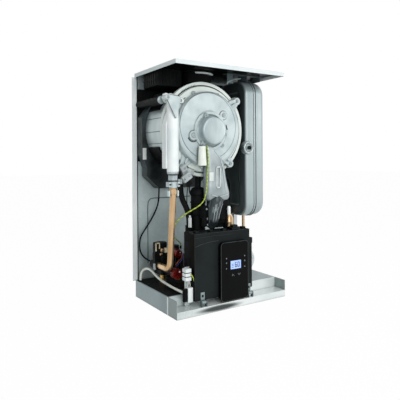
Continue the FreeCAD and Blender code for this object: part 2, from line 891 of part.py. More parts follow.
def make_fan():
    shell = join(
        rod(drum_axis(HOUSING_FACE), HOUSING_RADIUS, S.housing_depth),
        rod(fan_axis(HOUSING_FACE - S.boss_height), S.boss_radius, S.boss_height),
    )
    scroll = rod(drum_axis(HOUSING_FACE + S.housing_wall), HOUSING_RADIUS - S.housing_wall, S.housing_depth)
    recess = rod(fan_axis(HOUSING_FACE - S.boss_height), S.cap_base + S.fit_gap, S.boss_height)
    shaft_hole = rod(fan_axis(HOUSING_FACE), S.shaft_radius * 1.5, S.housing_wall * 2)
    piece("fan_housing", cut(shell, scroll, recess, shaft_hole))

    wheel = S.shaft_reach + S.housing_wall + S.fan_plate
    outline = [
        (0, 0),
        (S.shaft_radius, 0),
        (S.shaft_radius, wheel),
        (S.fan_hub, wheel),
        (S.fan_hub, wheel + S.fan_width),
        (S.fan_radius, wheel + S.fan_width),
        (S.fan_radius, wheel + S.fan_width + S.fan_plate),
        (0, wheel + S.fan_width + S.fan_plate),
    ]
    blade = rectangle((S.fan_eye, -S.blade_gauge / 2), S.fan_radius - S.fan_eye, S.blade_gauge)
    centre = fan_axis(HOUSING_FACE - S.shaft_reach)
    piece("fan_impeller", impeller(outline, blade, wheel, S.fan_width, COUNTS["fan_blades"], centre))

    stator = rod(fan_axis(HOUSING_FACE - S.motor_length), S.motor_radius, S.motor_length)
    bore = rod(fan_axis(HOUSING_FACE - S.motor_length), S.shaft_radius + S.running_gap, S.motor_length)
    piece("fan_motor", cut(stator, bore))

    piece("motor_cap", turned([
        (0, 0),
        (S.cap_front, 0),
        (S.cap_base, S.cap_depth),
        (S.cap_base - S.cap_wall, S.cap_depth),
        (S.cap_front - S.cap_wall, S.cap_wall),
        (0, S.cap_wall),
    ], fan_axis(HOUSING_FACE - S.cap_depth)))


def make_gas_train():
    rise = DUCT_TOP - DUCT_BASE
    outline = [(0, 0), (S.duct_base_width, 0), (S.duct_top_width, rise), (0, rise)]
    corner = spot(S.duct_left, S.duct_front, DUCT_BASE)
    body = slab(outline, DOOR_FACE - S.duct_front, corner)
    front = numbers(corner).y
    duct = rounded(body, S.duct_round, lambda way, middle: abs(way.z) > 0.8 and middle.y < front + 1)
    saddle = rod(drum_axis(HOUSING_FACE - S.fit_gap), HOUSING_RADIUS + S.fit_gap, S.housing_depth * 2)
    piece("mixing_duct", cut(duct, saddle))

    corner = spot(S.valve_from_left, S.valve_front, VALVE_BASE)
    casting = block(corner, S.valve_width, S.valve_depth, S.valve_height)
    casting = rounded(casting, S.valve_round, runs_along("z"))
    middle = spot(S.valve_from_left + S.valve_width / 2, S.valve_front - S.governor_length,
                  VALVE_BASE + S.valve_height / 2)
    piece("gas_valve", join(casting, rod(middle, S.governor_radius, S.governor_length + S.valve_round)))

    coil_corner = spot(S.valve_from_left - S.valve_coil_width, S.valve_front + S.valve_round / 2,
                       VALVE_BASE + (S.valve_height - S.valve_coil_height) / 2)
    coil_depth = S.valve_coil_depth - S.valve_round / 2
    coil = block(coil_corner, S.valve_coil_width, coil_depth, S.valve_coil_height)
    piece("gas_valve_coil", coil)

    inlet = DUCT_BASE - S.gas_inlet_drop
    across = tail_place(3)
    piece("gas_pipe", bent_pipe("GasPipe", [
        spot(S.valve_from_left + S.valve_width, S.gas_pipe_setback - S.fit_gap, inlet),
        spot(across, S.gas_pipe_setback, inlet),
        spot(across, S.gas_pipe_setback, S.gas_run_height),
        spot(across, S.tail_setback, S.gas_run_height),
        spot(across, S.tail_setback, S.tail_lift + S.gas_tail_height),
    ], [S.gas_bend] * 3, S.gas_pipe_radius, S.pipe_wall))

    boot_setback = HOUSING_FACE - S.boot_wide - S.fit_gap
    boot_base = DRUM_HEIGHT - S.boot_drop
    boot = taper(spot(S.boot_from_left, boot_setback, boot_base), S.boot_wide, S.boot_narrow, S.boot_length)
    pin_height = boot_base + S.boot_length - S.boot_narrow
    pin_start = spot(S.boot_from_left, boot_setback, pin_height)
    pin = rod(pin_start, S.electrode_radius, HOUSING_FACE - boot_setback)
    piece("ignition_electrode", join(boot, pin))


def make_flue_side():
    height = S.case_height - DRUM_HEIGHT
    foot = spot(S.flue_from_left, S.flue_setback, DRUM_HEIGHT)
    flange = spot(S.flue_from_left, S.flue_setback, LID_FACE - S.flue_flange_thickness)
    outside = join(
        rod(foot, S.flue_radius, height, "z"),
        rod(flange, S.flue_flange, S.flue_flange_thickness, "z"),
    )
    seat = spot(S.flue_from_left, S.flue_setback, S.case_height - S.flue_seat_depth)
    bore = rod(seat, S.flue_radius - S.flue_wall, S.flue_seat_depth + 1, "z")
    port = rod(foot, S.flue_port, height, "z")
    drum = rod(drum_axis(0), S.drum_radius + S.fit_gap, S.case_depth)
    piece("flue_outlet", cut(outside, bore, port, drum))

    corner = spot(S.silencer_from_left, S.silencer_setback, LID_FACE - S.silencer_drop)
    box = rounded(block(corner, S.silencer_width, S.silencer_depth, S.silencer_drop), S.silencer_rib,
                  runs_along("z"))
    pitch = S.silencer_depth / (COUNTS["silencer_grooves"] + 1)
    grooves = []
    for number in range(COUNTS["silencer_grooves"]):
        back = S.silencer_setback + pitch * (number + 1) - S.silencer_rib / 2
        groove = spot(S.silencer_from_left, back, LID_FACE - S.silencer_drop)
        grooves.append(block(groove, S.silencer_width, S.silencer_rib, S.silencer_groove))
    piece("air_silencer", cut(box, *grooves))

    start = spot(S.support_from_left, S.support_setback, DRUM_HEIGHT + S.support_rise)
    wing_face = BACK_FACE - S.wing_joggle
    piece("support_tube", rod(start, S.support_radius, wing_face - S.support_setback))


def make_flow_line():
    axis_x = S.manifold_from_left
    axis_y = S.manifold_setback
    ear_x = S.drum_from_left + UPPER_EAR * cosine(S.ear_top_left)
    ear_z = DRUM_HEIGHT + UPPER_EAR * sine(S.ear_top_left)
    bracket_face = DOOR_FACE - S.bracket_gauge
    length = MANIFOLD_TOP - MANIFOLD_BASE
    tube = rod(spot(axis_x, axis_y, MANIFOLD_BASE), S.manifold_radius, length, "z")
    crown = spot(axis_x, axis_y, MANIFOLD_TOP)
    dome = taper(crown, S.manifold_radius, S.manifold_radius / 2, S.manifold_dome)
    rail = block(spot(S.rail_from_left, axis_y, DRUM_HEIGHT - S.rail_drop), S.rail_width,
                 S.ring_setback - axis_y, S.rail_drop + S.rail_rise)
    boss = rod(spot(ear_x, bracket_face, ear_z), S.bracket_boss, S.ring_setback - bracket_face)
    lug = block(spot(ear_x - S.bracket_boss, axis_y, MANIFOLD_TOP - S.manifold_radius),
                2 * S.bracket_boss, DOOR_FACE - axis_y, ear_z - MANIFOLD_TOP + S.manifold_radius)
    piece("water_manifold", join(tube, dome, rail, boss, lug))

    fitting = rod(spot(axis_x, axis_y, UNION_BASE), S.union_radius, S.union_length, "z")
    clamp = block(spot(axis_x - S.clamp_width / 2, axis_y - S.clamp_depth / 2, UNION_BASE + S.clamp_rise),
                  S.clamp_width, S.clamp_depth, S.clamp_height)
    piece("pipe_union", join(fitting, clamp))

    low = axis_y + S.flow_lean
    piece("flow_pipe", bent_pipe("FlowPipe", [
        spot(axis_x, axis_y, UNION_BASE),
        spot(axis_x, axis_y, UNION_BASE - S.flow_knee),
        spot(axis_x, low, S.flow_turn_height),
        spot(axis_x, S.block_setback, S.flow_turn_height),
    ], [S.flow_bend * 4, S.flow_bend], S.pipe_radius, S.pipe_wall))

    clips = []
    for x, y, z, clip_length in (
        (axis_x, axis_y, UNION_BASE - S.flow_clip_drop, S.flow_clip_length),
        (S.return_from_left, S.return_setback, S.return_clip_height, S.return_clip_length),
    ):
        outside = rod(spot(x, y, z), S.clip_radius, clip_length, "z")
        clips.append(cut(outside, rod(spot(x, y, z), S.pipe_radius + S.fit_gap, clip_length, "z")))
    piece("pipe_clips", group(*clips))

    low = DRUM_HEIGHT - RING_RADIUS - S.sensor_offset
    corner = spot(S.sensor_from_left, S.ring_setback - S.sensor_depth, low)
    body = block(corner, S.sensor_width, S.sensor_depth, S.sensor_height)
    piece("flow_sensor", rounded(body, S.block_round, runs_along("y")))


def make_flow_block():
    corner = spot(S.block_from_left, S.block_setback, S.block_base)
    body = block(corner, S.block_width, S.block_depth, S.block_height)
    body = rounded(body, S.block_round, runs_along("z"))
    port_start = spot(S.manifold_from_left, S.block_setback, S.flow_turn_height)
    port = rod(port_start, S.port_radius, S.port_length)
    stud = rod(spot(S.stud_from_left, S.stud_setback, BLOCK_TOP), S.stud_radius, S.stud_height, "z")
    chamber = rod(spot(S.actuator_from_left, S.actuator_setback, S.block_base), S.chamber_radius,
                  S.chamber_depth, "z")
    guide = rod(spot(S.actuator_from_left, S.actuator_setback, S.block_base), S.stem_radius + S.running_gap,
                S.block_height, "z")
    piece("flow_block", cut(join(body, port, stud), chamber, guide))

    bore_height = S.actuator_height - S.stem_travel
    shell = rod(spot(S.actuator_from_left, S.actuator_setback, BLOCK_TOP), S.actuator_radius,
                S.actuator_height, "z")
    bore = rod(spot(S.actuator_from_left, S.actuator_setback, BLOCK_TOP), S.stem_radius + S.running_gap,
               bore_height, "z")
    piece("diverter_actuator", cut(shell, bore))

    head_base = S.block_base + S.chamber_depth - S.stem_travel * 2 - S.stem_head_height
    foot = spot(S.actuator_from_left, S.actuator_setback, head_base)
    stem = rod(foot, S.stem_radius, S.stem_length, "z")
    head = rod(foot, S.stem_head, S.stem_head_height, "z")
    piece("diverter_stem", join(stem, head))

    valve_face = S.block_setback - S.safety_length
    body = rod(spot(S.safety_from_left, valve_face, S.safety_height), S.safety_radius, S.safety_length)
    spindle_length = S.knob_length - S.knob_web
    spindle = rod(spot(S.safety_from_left, valve_face - spindle_length, S.safety_height), S.spindle_radius,
                  spindle_length)
    piece("safety_valve", join(body, spindle))

    knob_face = valve_face - S.fit_gap - S.knob_length
    knob = rod(spot(S.safety_from_left, knob_face, S.safety_height), S.knob_radius, S.knob_length)
    bore = rod(spot(S.safety_from_left, knob_face + S.knob_web - S.fit_gap, S.safety_height),
               S.spindle_radius + S.running_gap, S.knob_length)
    grips = []
    for number in range(6):
        angle = Size(60.0 * number, repr(60.0 * number))
        grip = spot(S.safety_from_left + S.knob_radius * cosine(angle), knob_face,
                    S.safety_height + S.knob_radius * sine(angle))
        grips.append(rod(grip, S.knob_scallop, S.knob_length))
    piece("safety_knob", cut(knob, bore, *grips))

    foot = spot(S.pressure_from_left, S.pressure_setback, BLOCK_TOP)
    piece("pressure_sensor", rod(foot, S.pressure_radius, S.pressure_height, "z"))


def make_pump_side():
    plates_left = S.block_from_left + S.block_width
    plates_width = S.pump_from_left - plates_left
    corner = spot(plates_left, S.plates_setback, S.plates_base)
    stack = block(corner, plates_width, S.plates_depth, S.plates_height)
    pitch = S.plates_height / (COUNTS["plate_grooves"] + 1)
    grooves = []
    for number in range(COUNTS["plate_grooves"]):
        up = S.plates_base + pitch * (number + 1) - S.plates_groove / 2
        grooves.append(block(spot(plates_left + S.plates_groove, S.plates_setback, up),
                             plates_width - 2 * S.plates_groove, S.plates_groove, S.plates_groove))
    piece("plate_exchanger", cut(stack, *grooves))

    axis = (S.pump_axis_from_left, S.pump_axis_height)
    corner = spot(S.pump_from_left, S.pump_setback, S.pump_base)
    body = rounded(block(corner, S.pump_width, S.pump_depth, S.pump_height), S.block_round, runs_along("y"))
    volute = rod(spot(axis[0], S.pump_setback, axis[1]), S.volute_radius, S.volute_depth)
    piece("pump_body", cut(body, volute))

    motor_face = S.pump_setback - S.pump_motor_length
    motor = rounded(rod(spot(axis[0], motor_face, axis[1]), S.pump_motor_radius, S.pump_motor_length),
                    S.pump_motor_round, near_setback(motor_face))
    shaft = spot(axis[0], S.pump_setback - S.rotor_shaft - S.fit_gap, axis[1])
    bore = rod(shaft, S.shaft_radius + S.running_gap, S.rotor_shaft + 1)
    piece("pump_motor", cut(motor, bore))

    wheel = S.rotor_shaft + S.rotor_gap
    outline = [
        (0, 0),
        (S.shaft_radius, 0),
        (S.shaft_radius, wheel),
        (S.rotor_eye, wheel),
        (S.rotor_eye, wheel + S.rotor_width),
        (S.rotor_radius, wheel + S.rotor_width),
        (S.rotor_radius, wheel + S.rotor_width + S.rotor_plate),
        (0, wheel + S.rotor_width + S.rotor_plate),
    ]
    root = (S.rotor_eye - S.blade_gauge, -S.blade_gauge / 2)
    blade = rectangle(root, S.rotor_radius - S.rotor_eye, S.blade_gauge)
    centre = spot(axis[0], S.pump_setback - S.rotor_shaft, axis[1])
    piece("pump_impeller", impeller(outline, blade, wheel, S.rotor_width, COUNTS["rotor_blades"], centre))

    ends = (
        (S.tail_radius_wide, S.block_base),
        (S.tail_radius_narrow, S.plates_base),
        (S.tail_radius_narrow, S.plates_base),
        (S.tail_radius_wide, S.tail_lift + S.gas_tail_height),
        (S.tail_radius_wide, S.pump_base),
    )
    tails = []
    for number, (radius, top) in enumerate(ends):
        foot = spot(tail_place(number), S.tail_setback, S.tail_lift)
        thread = rod(foot, radius, S.gas_tail_height, "z")
        if number == 3:
            tails.append(thread)
            continue
        stem = rod(foot, radius - S.tail_step, top - S.tail_lift, "z")
        tails.append(join(thread, stem))
    piece("connection_tails", group(*tails))

    reach = S.drum_radius + S.fit_gap
    end_x = S.drum_from_left + reach * cosine(S.return_angle)
    end_z = DRUM_HEIGHT - reach * sine(S.return_angle)
    knee_z = end_z - (S.return_from_left - end_x) * sine(S.return_angle) / cosine(S.return_angle)
    piece("return_pipe", bent_pipe("ReturnPipe", [
        spot(S.return_from_left, S.return_setback, PUMP_TOP),
        spot(S.return_from_left, S.return_setback, knee_z),
        spot(end_x, S.return_setback, end_z),
    ], [S.return_bend], S.pipe_radius, S.pipe_wall))


def near_setback(setback):
    plane = numbers(spot(0, setback, 0)).y
    return lambda direction, middle: abs(middle.y - plane) < 0.01


def half_vessel(left, width, outer_side):
    """One drawn shell: a box open at the seam, with large corners and a rounded outer face."""
    wall = S.vessel_wall
    face = numbers(spot(left + width if outer_side else left, 0, 0)).x
    inner_left = left if outer_side else left + wall

    def on_face(where):
        return lambda way, middle: abs(middle.x - where) < 0.01

    outside = block(spot(left, S.vessel_setback, VESSEL_BASE), width, S.vessel_depth, VESSEL_HEIGHT)
    outside = rounded(outside, S.vessel_corner, runs_along("x"))
    outside = rounded(outside, S.vessel_round, on_face(face))
    inner = block(spot(inner_left, S.vessel_setback + wall, VESSEL_BASE + wall), width - wall,
                  S.vessel_depth - 2 * wall, VESSEL_HEIGHT - 2 * wall)
    inner = rounded(inner, S.vessel_corner - wall, runs_along("x"))
    inner_face = face - wall.number if outer_side else face + wall.number
    return outside, rounded(inner, S.vessel_round - wall, on_face(inner_face))


def make_vessel():
    half = (S.vessel_thickness - S.diaphragm_gauge) / 2
    seam = VESSEL_LEFT + half
    across = VESSEL_LEFT + S.vessel_valve_inset
    up = VESSEL_TOP - S.vessel_valve_drop
    front = S.vessel_setback - S.dimple_rise
    dimple = rod(spot(across, front, up), S.dimple_radius, S.dimple_depth)
    outside, inside = half_vessel(VESSEL_LEFT, half, False)
    piece("vessel_inner_shell", join(cut(outside, inside), dimple))
    piece("vessel_outer_shell", cut(*half_vessel(seam + S.diaphragm_gauge, half, True)))
    sheet_corner = spot(seam, S.vessel_setback, VESSEL_BASE)
    piece("vessel_diaphragm", rounded(block(sheet_corner, S.diaphragm_gauge, S.vessel_depth, VESSEL_HEIGHT),
                                      S.vessel_corner, runs_along("x")))
    valve = spot(across, front - S.vessel_valve_length, up)
    piece("vessel_valve", rod(valve, S.vessel_valve_radius, S.vessel_valve_length))
    foot = spot(S.case_width - S.vessel_pipe_from_right, S.vessel_pipe_setback, PUMP_TOP)
    outside = rod(foot, S.vessel_pipe_radius, VESSEL_BASE - PUMP_TOP, "z")
    bore = rod(foot, S.vessel_pipe_radius - S.pipe_wall, VESSEL_BASE - PUMP_TOP, "z")
    piece("vessel_pipe", cut(outside, bore))


def between(first, last, share):
    """A place part of the way from one end of a cord to the other."""
    return first + (last - first) * share


def make_condensate():
    x = S.trap_from_left
    y = S.trap_setback
    top = DRUM_HEIGHT - S.trap_drop
    drum_under = DRUM_HEIGHT - S.drum_radius - S.fit_gap
    bottle = join(
        rod(spot(x, y, S.trap_base), S.trap_radius, top - S.trap_base, "z"),
        rod(spot(x, y, top), S.trap_neck, drum_under - top, "z"),
        rod(spot(x, y, S.tail_lift), S.trap_spigot, S.trap_base - S.tail_lift, "z"),
        rod(spot(x - S.arm_offset, y, S.arm_base), S.arm_radius, S.arm_height, "z"),
    )
    piece("condensate_trap", bottle)
    low = S.arm_base + S.arm_height
    end_x = x - S.arm_offset
    route = []
    for across, down in (
        (0, 0), (0, 0.149), (0.112, 0.296), (0.337, 0.4355), (0.663, 0.5645), (0.888, 0.704),
        (1, 0.851), (1, 1),
    ):
        route.append(spot(between(S.drain_from_left, end_x, across), between(S.drain_setback, y, across),
                          between(DRAIN_END, low, down)))
    piece("condensate_hose", cord("CondensateHose", route, S.hose_radius))


def make_control_box():
    wall = S.box_wall
    right = S.box_from_left + S.box_width
    cover_height = S.box_top - S.box_base
    tray_height = S.box_top - S.tray_base
    tray = block(spot(S.box_from_left, COVER_BACK, S.tray_base), S.box_width, S.tray_depth, tray_height)
    inside = block(spot(S.box_from_left + wall, COVER_BACK, S.tray_base + wall), S.box_width - 2 * wall,
                   S.tray_depth - wall, tray_height - 2 * wall)
    apron = block(spot(S.box_from_left, COVER_BACK, S.box_base), S.box_width, wall,
                  S.tray_base - S.box_base + wall)
    posts = []
    for x in (S.box_from_left + S.post_inset, right - S.post_inset):
        for z in (S.tray_base + S.post_inset, S.box_top - S.post_inset):
            posts.append(rod(spot(x, TRAY_BACK - wall - S.post_length, z), S.post_radius, S.post_length))
    piece("control_box_rear", join(cut(tray, inside), apron, *posts))

    board_back = TRAY_BACK - wall - S.post_length
    inset = S.board_inset
    piece("control_board", block(
        spot(S.box_from_left + inset, board_back - S.board_gauge, S.tray_base + inset),
        S.box_width - 2 * inset, S.board_gauge, tray_height - 2 * inset))

    corner = spot(S.box_from_left, S.box_setback, S.box_base)
    front = numbers(corner).y
    shell = rounded(block(corner, S.box_width, S.cover_depth, cover_height), S.box_round,
                    lambda way, middle: abs(way.y) > 0.99 or abs(middle.y - front) < 0.01)
    hollow = block(spot(S.box_from_left + wall, S.box_setback + wall, S.box_base + wall),
                   S.box_width - 2 * wall, S.cover_depth, cover_height - 2 * wall)
    catch = block(spot(S.clip_from_left, S.box_setback + S.box_round, S.box_top - S.box_round),
                  S.clip_width, S.clip_depth, S.clip_height + S.box_round)
    piece("control_box_cover", cut(join(shell, catch), hollow))

    thickness = S.box_setback - S.panel_setback
    corner = spot(S.panel_from_left, S.panel_setback, S.panel_base)
    plate = block(corner, S.panel_width, thickness, S.panel_height)
    plate = rounded(plate, S.panel_round, runs_along("y"))
    plate = rounded(plate, S.panel_edge, near_setback(S.panel_setback))
    gap = S.window_gap
    pocket = block(spot(S.window_from_left - gap, S.panel_setback, S.window_base - gap),
                   S.window_width + 2 * gap, S.window_gauge + gap, S.window_height + 2 * gap)
    piece("display_panel", cut(plate, pocket))
    piece("display_window", block(spot(S.window_from_left, S.panel_setback, S.window_base), S.window_width,
                                  S.window_gauge, S.window_height))


def make_hinge():
    straps = []
    brackets = []
    face = S.box_setback - S.strap_gauge
    for middle in (S.left_strap, S.right_strap):
        left = middle - S.strap_width / 2
        low = S.hinge_height - S.strap_web / 2
        leaf = block(spot(left, face, low), S.strap_width, S.strap_gauge, S.strap_top - low)
        web = block(spot(left, S.hinge_setback, low), S.strap_width, face - S.hinge_setback, S.strap_web)
        knuckle = rod(spot(left, S.hinge_setback, S.hinge_height), S.knuckle_radius, S.strap_width, "x")
        pin_place = spot(left, S.hinge_setback, S.hinge_height)
        bore = rod(pin_place, S.pin_radius + S.running_gap, S.strap_width, "x")
        window = block(spot(middle - S.strap_window / 2, face, S.strap_top - 2 * S.strap_window),
                       S.strap_window, S.strap_gauge, S.strap_window)
        straps.append(cut(join(leaf, web, knuckle), bore, window))

        outer = left - S.lug_gap - S.lug_gauge
        span = S.strap_width + 2 * (S.lug_gap + S.lug_gauge)
        parts = [rod(spot(outer, S.hinge_setback, S.hinge_height), S.pin_radius, span, "x")]
        for lug in (outer, left + S.strap_width + S.lug_gap):
            parts.append(rod(spot(lug, S.hinge_setback, S.hinge_height), S.lug_radius, S.lug_gauge, "x"))
            parts.append(block(spot(lug, S.hinge_setback - S.lug_radius, S.shelf_height), S.lug_gauge,
                               2 * S.lug_radius, S.hinge_height - S.shelf_height))
        brackets.append(join(*parts))
    piece("hinge_straps", group(*straps))
    piece("hinge_brackets", group(*brackets))


def make_wiring():
    rows_front = S.tab_setback - S.terminal_depth
    rows_corner = spot(S.terminal_from_left, rows_front, S.terminal_base)
    rows = block(rows_corner, S.terminal_width, S.terminal_depth, S.terminal_height)
    plug_corner = spot(S.tab_from_left, rows_front, S.plug_base)
    plug = block(plug_corner, S.plug_width, S.terminal_depth, S.plug_height)
    piece("terminal_block", group(rows, plug))

    sleeve_corner = spot(S.sleeve_from_left, S.sleeve_setback, S.sleeve_base)
    sleeve = block(sleeve_corner, S.sleeve_width, S.sleeve_depth, S.sleeve_height)
    sleeve = rounded(sleeve, S.cable_radius, runs_along("z"))
    foot = spot(S.grommet_from_left, S.grommet_setback, S.pan_height - 2 * S.sheet_gauge)
    collar = spot(S.grommet_from_left, S.grommet_setback, S.pan_height)
    grommet = join(
        rod(foot, S.grommet_neck, 2 * S.sheet_gauge, "z"),
        rod(collar, S.grommet_radius, S.grommet_height, "z"),
    )
    piece("cable_glands", group(sleeve, grommet))

    exit_height = S.pan_height + S.grommet_height
    sleeve_x = S.sleeve_from_left + S.sleeve_width / 2
    sleeve_back = S.sleeve_setback + S.sleeve_depth
    piece("mains_cable", cord("MainsCable", [
        spot(S.grommet_from_left, S.grommet_setback, exit_height),
        spot(S.grommet_from_left, S.grommet_setback, 62),
        spot(10.7, 238.1, 74),
        spot(15.9, 231.2, 82.9),
        spot(23, 221.7, 87),
        spot(30.4, 211.8, 85.3),
        spot(35.1, 202.5, 78.5),
        spot(37.2, 188.5, 71),
        spot(37.5, 164, 66.8),
        spot(36.5, 128, 64),
        spot(36, 92, 62.5),
        spot(37.5, 62, 61),
        spot(sleeve_x, 44, 60),
        spot(sleeve_x, sleeve_back, 60),
    ], S.cable_radius))

    sump = DRUM_HEIGHT - SUMP_DEPTH
    route = [spot(x, BACK_FACE - inward, between(sump, S.lead_end, down)) for x, inward, down in (
        (74, 19, 0), (74, 19, 0.116), (70, 18, 0.237), (58, 16, 0.353), (42, 15, 0.4655), (24, 14, 0.569),
        (11, 13, 0.651), (7.5, 13, 0.75), (9, 14, 0.8535), (22, 17, 0.935), (34, 22, 0.972),
        (44, 32, 0.9935), (49, 45, 1),
    )]
    route.append(spot(49, S.block_setback + S.block_depth, S.lead_end))
    piece("sensor_lead", cord("SensorLead", route, S.lead_radius))

    first = DRUM_HEIGHT - S.wire_drop
    stud_top = BLOCK_TOP + S.stud_height
    route = [spot(x, y, between(first, stud_top, down)) for x, y, down in (
        (135, 52, 0), (134.5, 47.5, 0.072), (133, 44.5, 0.164), (129, 43, 0.295), (126, 42.5, 0.41),
        (121, 44.5, 0.508), (110, 51, 0.564), (92, 63, 0.6066), (75, 75, 0.6525), (62, 85, 0.708),
        (56, 97, 0.787), (60, 112, 0.872), (76, 129, 0.928), (93, 145, 0.9236), (100.5, 152.5, 0.942),
    )]
    for height in (stud_top + S.wire_lift, stud_top):
        route.append(spot(S.stud_from_left, S.stud_setback, height))
    piece("earth_wire", cord("EarthWire", route, S.wire_radius))


def check_and_write():
    doc.recompute()
    for thing in doc.Objects:
        if "Invalid" in thing.State or "Error" in thing.State:
            raise RuntimeError(f"{thing.Name} ({thing.Label}) failed: {thing.State}")
    for label, thing in pieces.items():
        if thing.Shape.isNull() or not thing.Shape.isValid() or not thing.Shape.Solids:
            raise RuntimeError(f"{label} has no valid solid")
    os.makedirs("parts", exist_ok=True)
    for label, thing in pieces.items():
        thing.Shape.exportStep(f"parts/{label}.step")
    print(len(pieces), "pieces written")


make_case()
make_exchanger()
make_burner()
make_fan()
make_gas_train()
make_flue_side()
make_flow_line()
make_flow_block()
make_pump_side()
make_vessel()
make_condensate()
make_control_box()
make_hinge()
make_wiring()
check_and_write()
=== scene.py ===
# %% [markdown]
# # A gas boiler with its covers off
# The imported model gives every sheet, casting and pipe its true place. This lesson dresses that frame: it
# sets the camera, gives each part the finish of its real material, lays hoses and wires as smooth curves,
# and adds the screws, labels and connectors that the solids leave out.

# %% Load the frame
import math

import bmesh
import bpy
import numpy as np
from mathutils import Matrix, Vector


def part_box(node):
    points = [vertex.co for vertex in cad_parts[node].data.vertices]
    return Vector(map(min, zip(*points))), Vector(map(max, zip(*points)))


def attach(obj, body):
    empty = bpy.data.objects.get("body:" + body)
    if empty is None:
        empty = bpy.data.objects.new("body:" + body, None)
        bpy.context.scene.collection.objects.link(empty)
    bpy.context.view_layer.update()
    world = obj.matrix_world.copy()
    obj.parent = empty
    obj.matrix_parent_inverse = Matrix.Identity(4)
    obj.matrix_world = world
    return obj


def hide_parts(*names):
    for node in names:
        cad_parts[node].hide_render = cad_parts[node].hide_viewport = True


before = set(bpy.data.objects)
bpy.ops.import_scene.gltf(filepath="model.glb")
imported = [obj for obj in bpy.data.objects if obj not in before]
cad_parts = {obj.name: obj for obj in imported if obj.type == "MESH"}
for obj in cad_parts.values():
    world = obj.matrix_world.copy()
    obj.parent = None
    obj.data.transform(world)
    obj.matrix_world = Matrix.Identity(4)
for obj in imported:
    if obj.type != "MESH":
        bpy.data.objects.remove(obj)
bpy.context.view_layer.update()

# %% [markdown]
# ## Places on the case
# A fitter measures a boiler from its left side, its front and its bottom, in millimetres. One function turns
# such a place into metres in the frame, so every number below can be checked with a tape measure.

# %% From case millimetres to the frame
MM = 0.001
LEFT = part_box("base_pan")[0][0]
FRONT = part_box("front_channel")[0][1]


def at(x, y, z):
    """A point x from the left side, y behind the front and z above the bottom, in metres."""
    x, y, z = np.broadcast_arrays(*[np.asarray(value, float) for value in (x, y, z)])
    return np.stack([LEFT + x * MM, FRONT + y * MM, z * MM], axis=-1)


def placed(name, data):
    """A new object at the origin, linked to the scene."""
    new = bpy.data.objects.new(name, data)
    bpy.context.collection.objects.link(new)
    return new


print("front left corner of the case:", at(0, 0, 0).round(3))

# %% [markdown]
# ## The camera
# The picture was taken with level optics from the left of the boiler, about as high as its fan. Its
# upright edges stay parallel, so the camera isn't tilted: the frame is shifted instead, as on a view
# camera.

# %% Camera of the photograph
PICTURE = 400
FOCAL_PIXELS = 455.4
HORIZON_ROW = 159.0
CAMERA_PLACE = (-604.9, -1054.8, 431.0)
TURN, ROLL = -32.84, -0.3235
camera_data = bpy.data.cameras.new("camera")
camera_data.sensor_width = 36.0
camera_data.lens = FOCAL_PIXELS / PICTURE * camera_data.sensor_width
camera_data.shift_y = (HORIZON_ROW - PICTURE / 2) / PICTURE
camera = placed("camera", camera_data)
rotations = ((TURN, "Z"), (90, "X"), (ROLL, "Z"))
turns = [Matrix.Rotation(math.radians(angle), 4, axis) for angle, axis in rotations]
camera.matrix_world = Matrix.Translation(at(*CAMERA_PLACE)) @ turns[0] @ turns[1] @ turns[2]
bpy.context.scene.camera = camera
bpy.context.scene.view_settings.view_transform = "Standard"
print("lens", round(camera_data.lens, 2), "mm, shift", round(camera_data.shift_y, 4))

# %% [markdown]
# ## Nodes and colours
# A finish is a small network of shader nodes. One helper adds a node, sets and links it. Colours are
# written as the sRGB hex values of a paint chart, and turned to linear light in one place.

# %% Helpers for materials


def add(tree, kind, inputs=None, **settings):
    """Adds one shader node, sets its properties, fills or links its inputs, and gives back its outputs."""
    new = tree.nodes.new("ShaderNode" + kind)
    for name, value in settings.items():
        setattr(new, name, value)
    for socket, value in (inputs or {}).items():
        if isinstance(value, bpy.types.NodeSocket):
            tree.links.new(value, new.inputs[socket])
        else:
            new.inputs[socket].default_value = value
    return new.outputs


def cleared(owner):
    """Switches on the nodes of a material or world, clears them, and gives back their tree."""
    owner.use_nodes = True
    owner.node_tree.nodes.clear()
    return owner.node_tree


def colour(text):
    """sRGB hex to linear red, green, blue and alpha."""
    part = np.array([int(text[i:i + 2], 16) for i in (1, 3, 5)]) / 255
    linear = np.where(part <= 0.04045, part / 12.92, ((part + 0.055) / 1.055) ** 2.4)
    return (*linear.tolist(), 1.0)


print("paint white is", [round(part, 3) for part in colour("#F1F5F5")[:3]], "in linear light")

# %% [markdown]
# ## One recipe for a finish
# A sheet, a casting and a moulding differ in numbers, not in kind: two close colours in soft patches, a
# range of roughness, a fine grain, and edges that are never quite sharp. Noise lumps come out about 0.6
# of a texture unit wide, so a scale is 0.6 over the real size. The bevel node rounds edges for the light,
# so that they catch a bright line. The ambient occlusion node finds corners, and their colour is darkened
# there: painted shade.

# %% A coat over a base


def mapped(value, span, ends):
    """The inputs that map a value's span to the two ends, in proportion."""
    return {"Value": value, "From Min": span[0], "From Max": span[1], "To Min": ends[0], "To Max": ends[1]}


def coat_over(tree, base, coat, value, span, shares, **settings):
    """Lays a coat over a base, base + share (coat - base); its share follows a value over its span."""
    share = add(tree, "MapRange", mapped(value, span, shares), **settings)[0]
    return add(tree, "Mix", {0: share, 6: base, 7: colour(coat)}, data_type="RGBA")[2]


print("a range is set by", ", ".join(mapped(0.5, (0, 1), (1, 0))))

# %% The recipe
LUMP = 0.6
EDGE_RADIUS = 1.2
BUMP = 0.6
CORNER = 9.0
# Painted shade in corners: its share in the deepest corners, and its near-black colour.
CORNER_SHADE = 0.5
CORNER_SHADE_COLOUR = "#0C1011"
CLOUD_SPAN, RUB_SPAN, SHADE_SPAN = (0.35, 0.65), (0.3, 0.7), (0.25, 0.85)


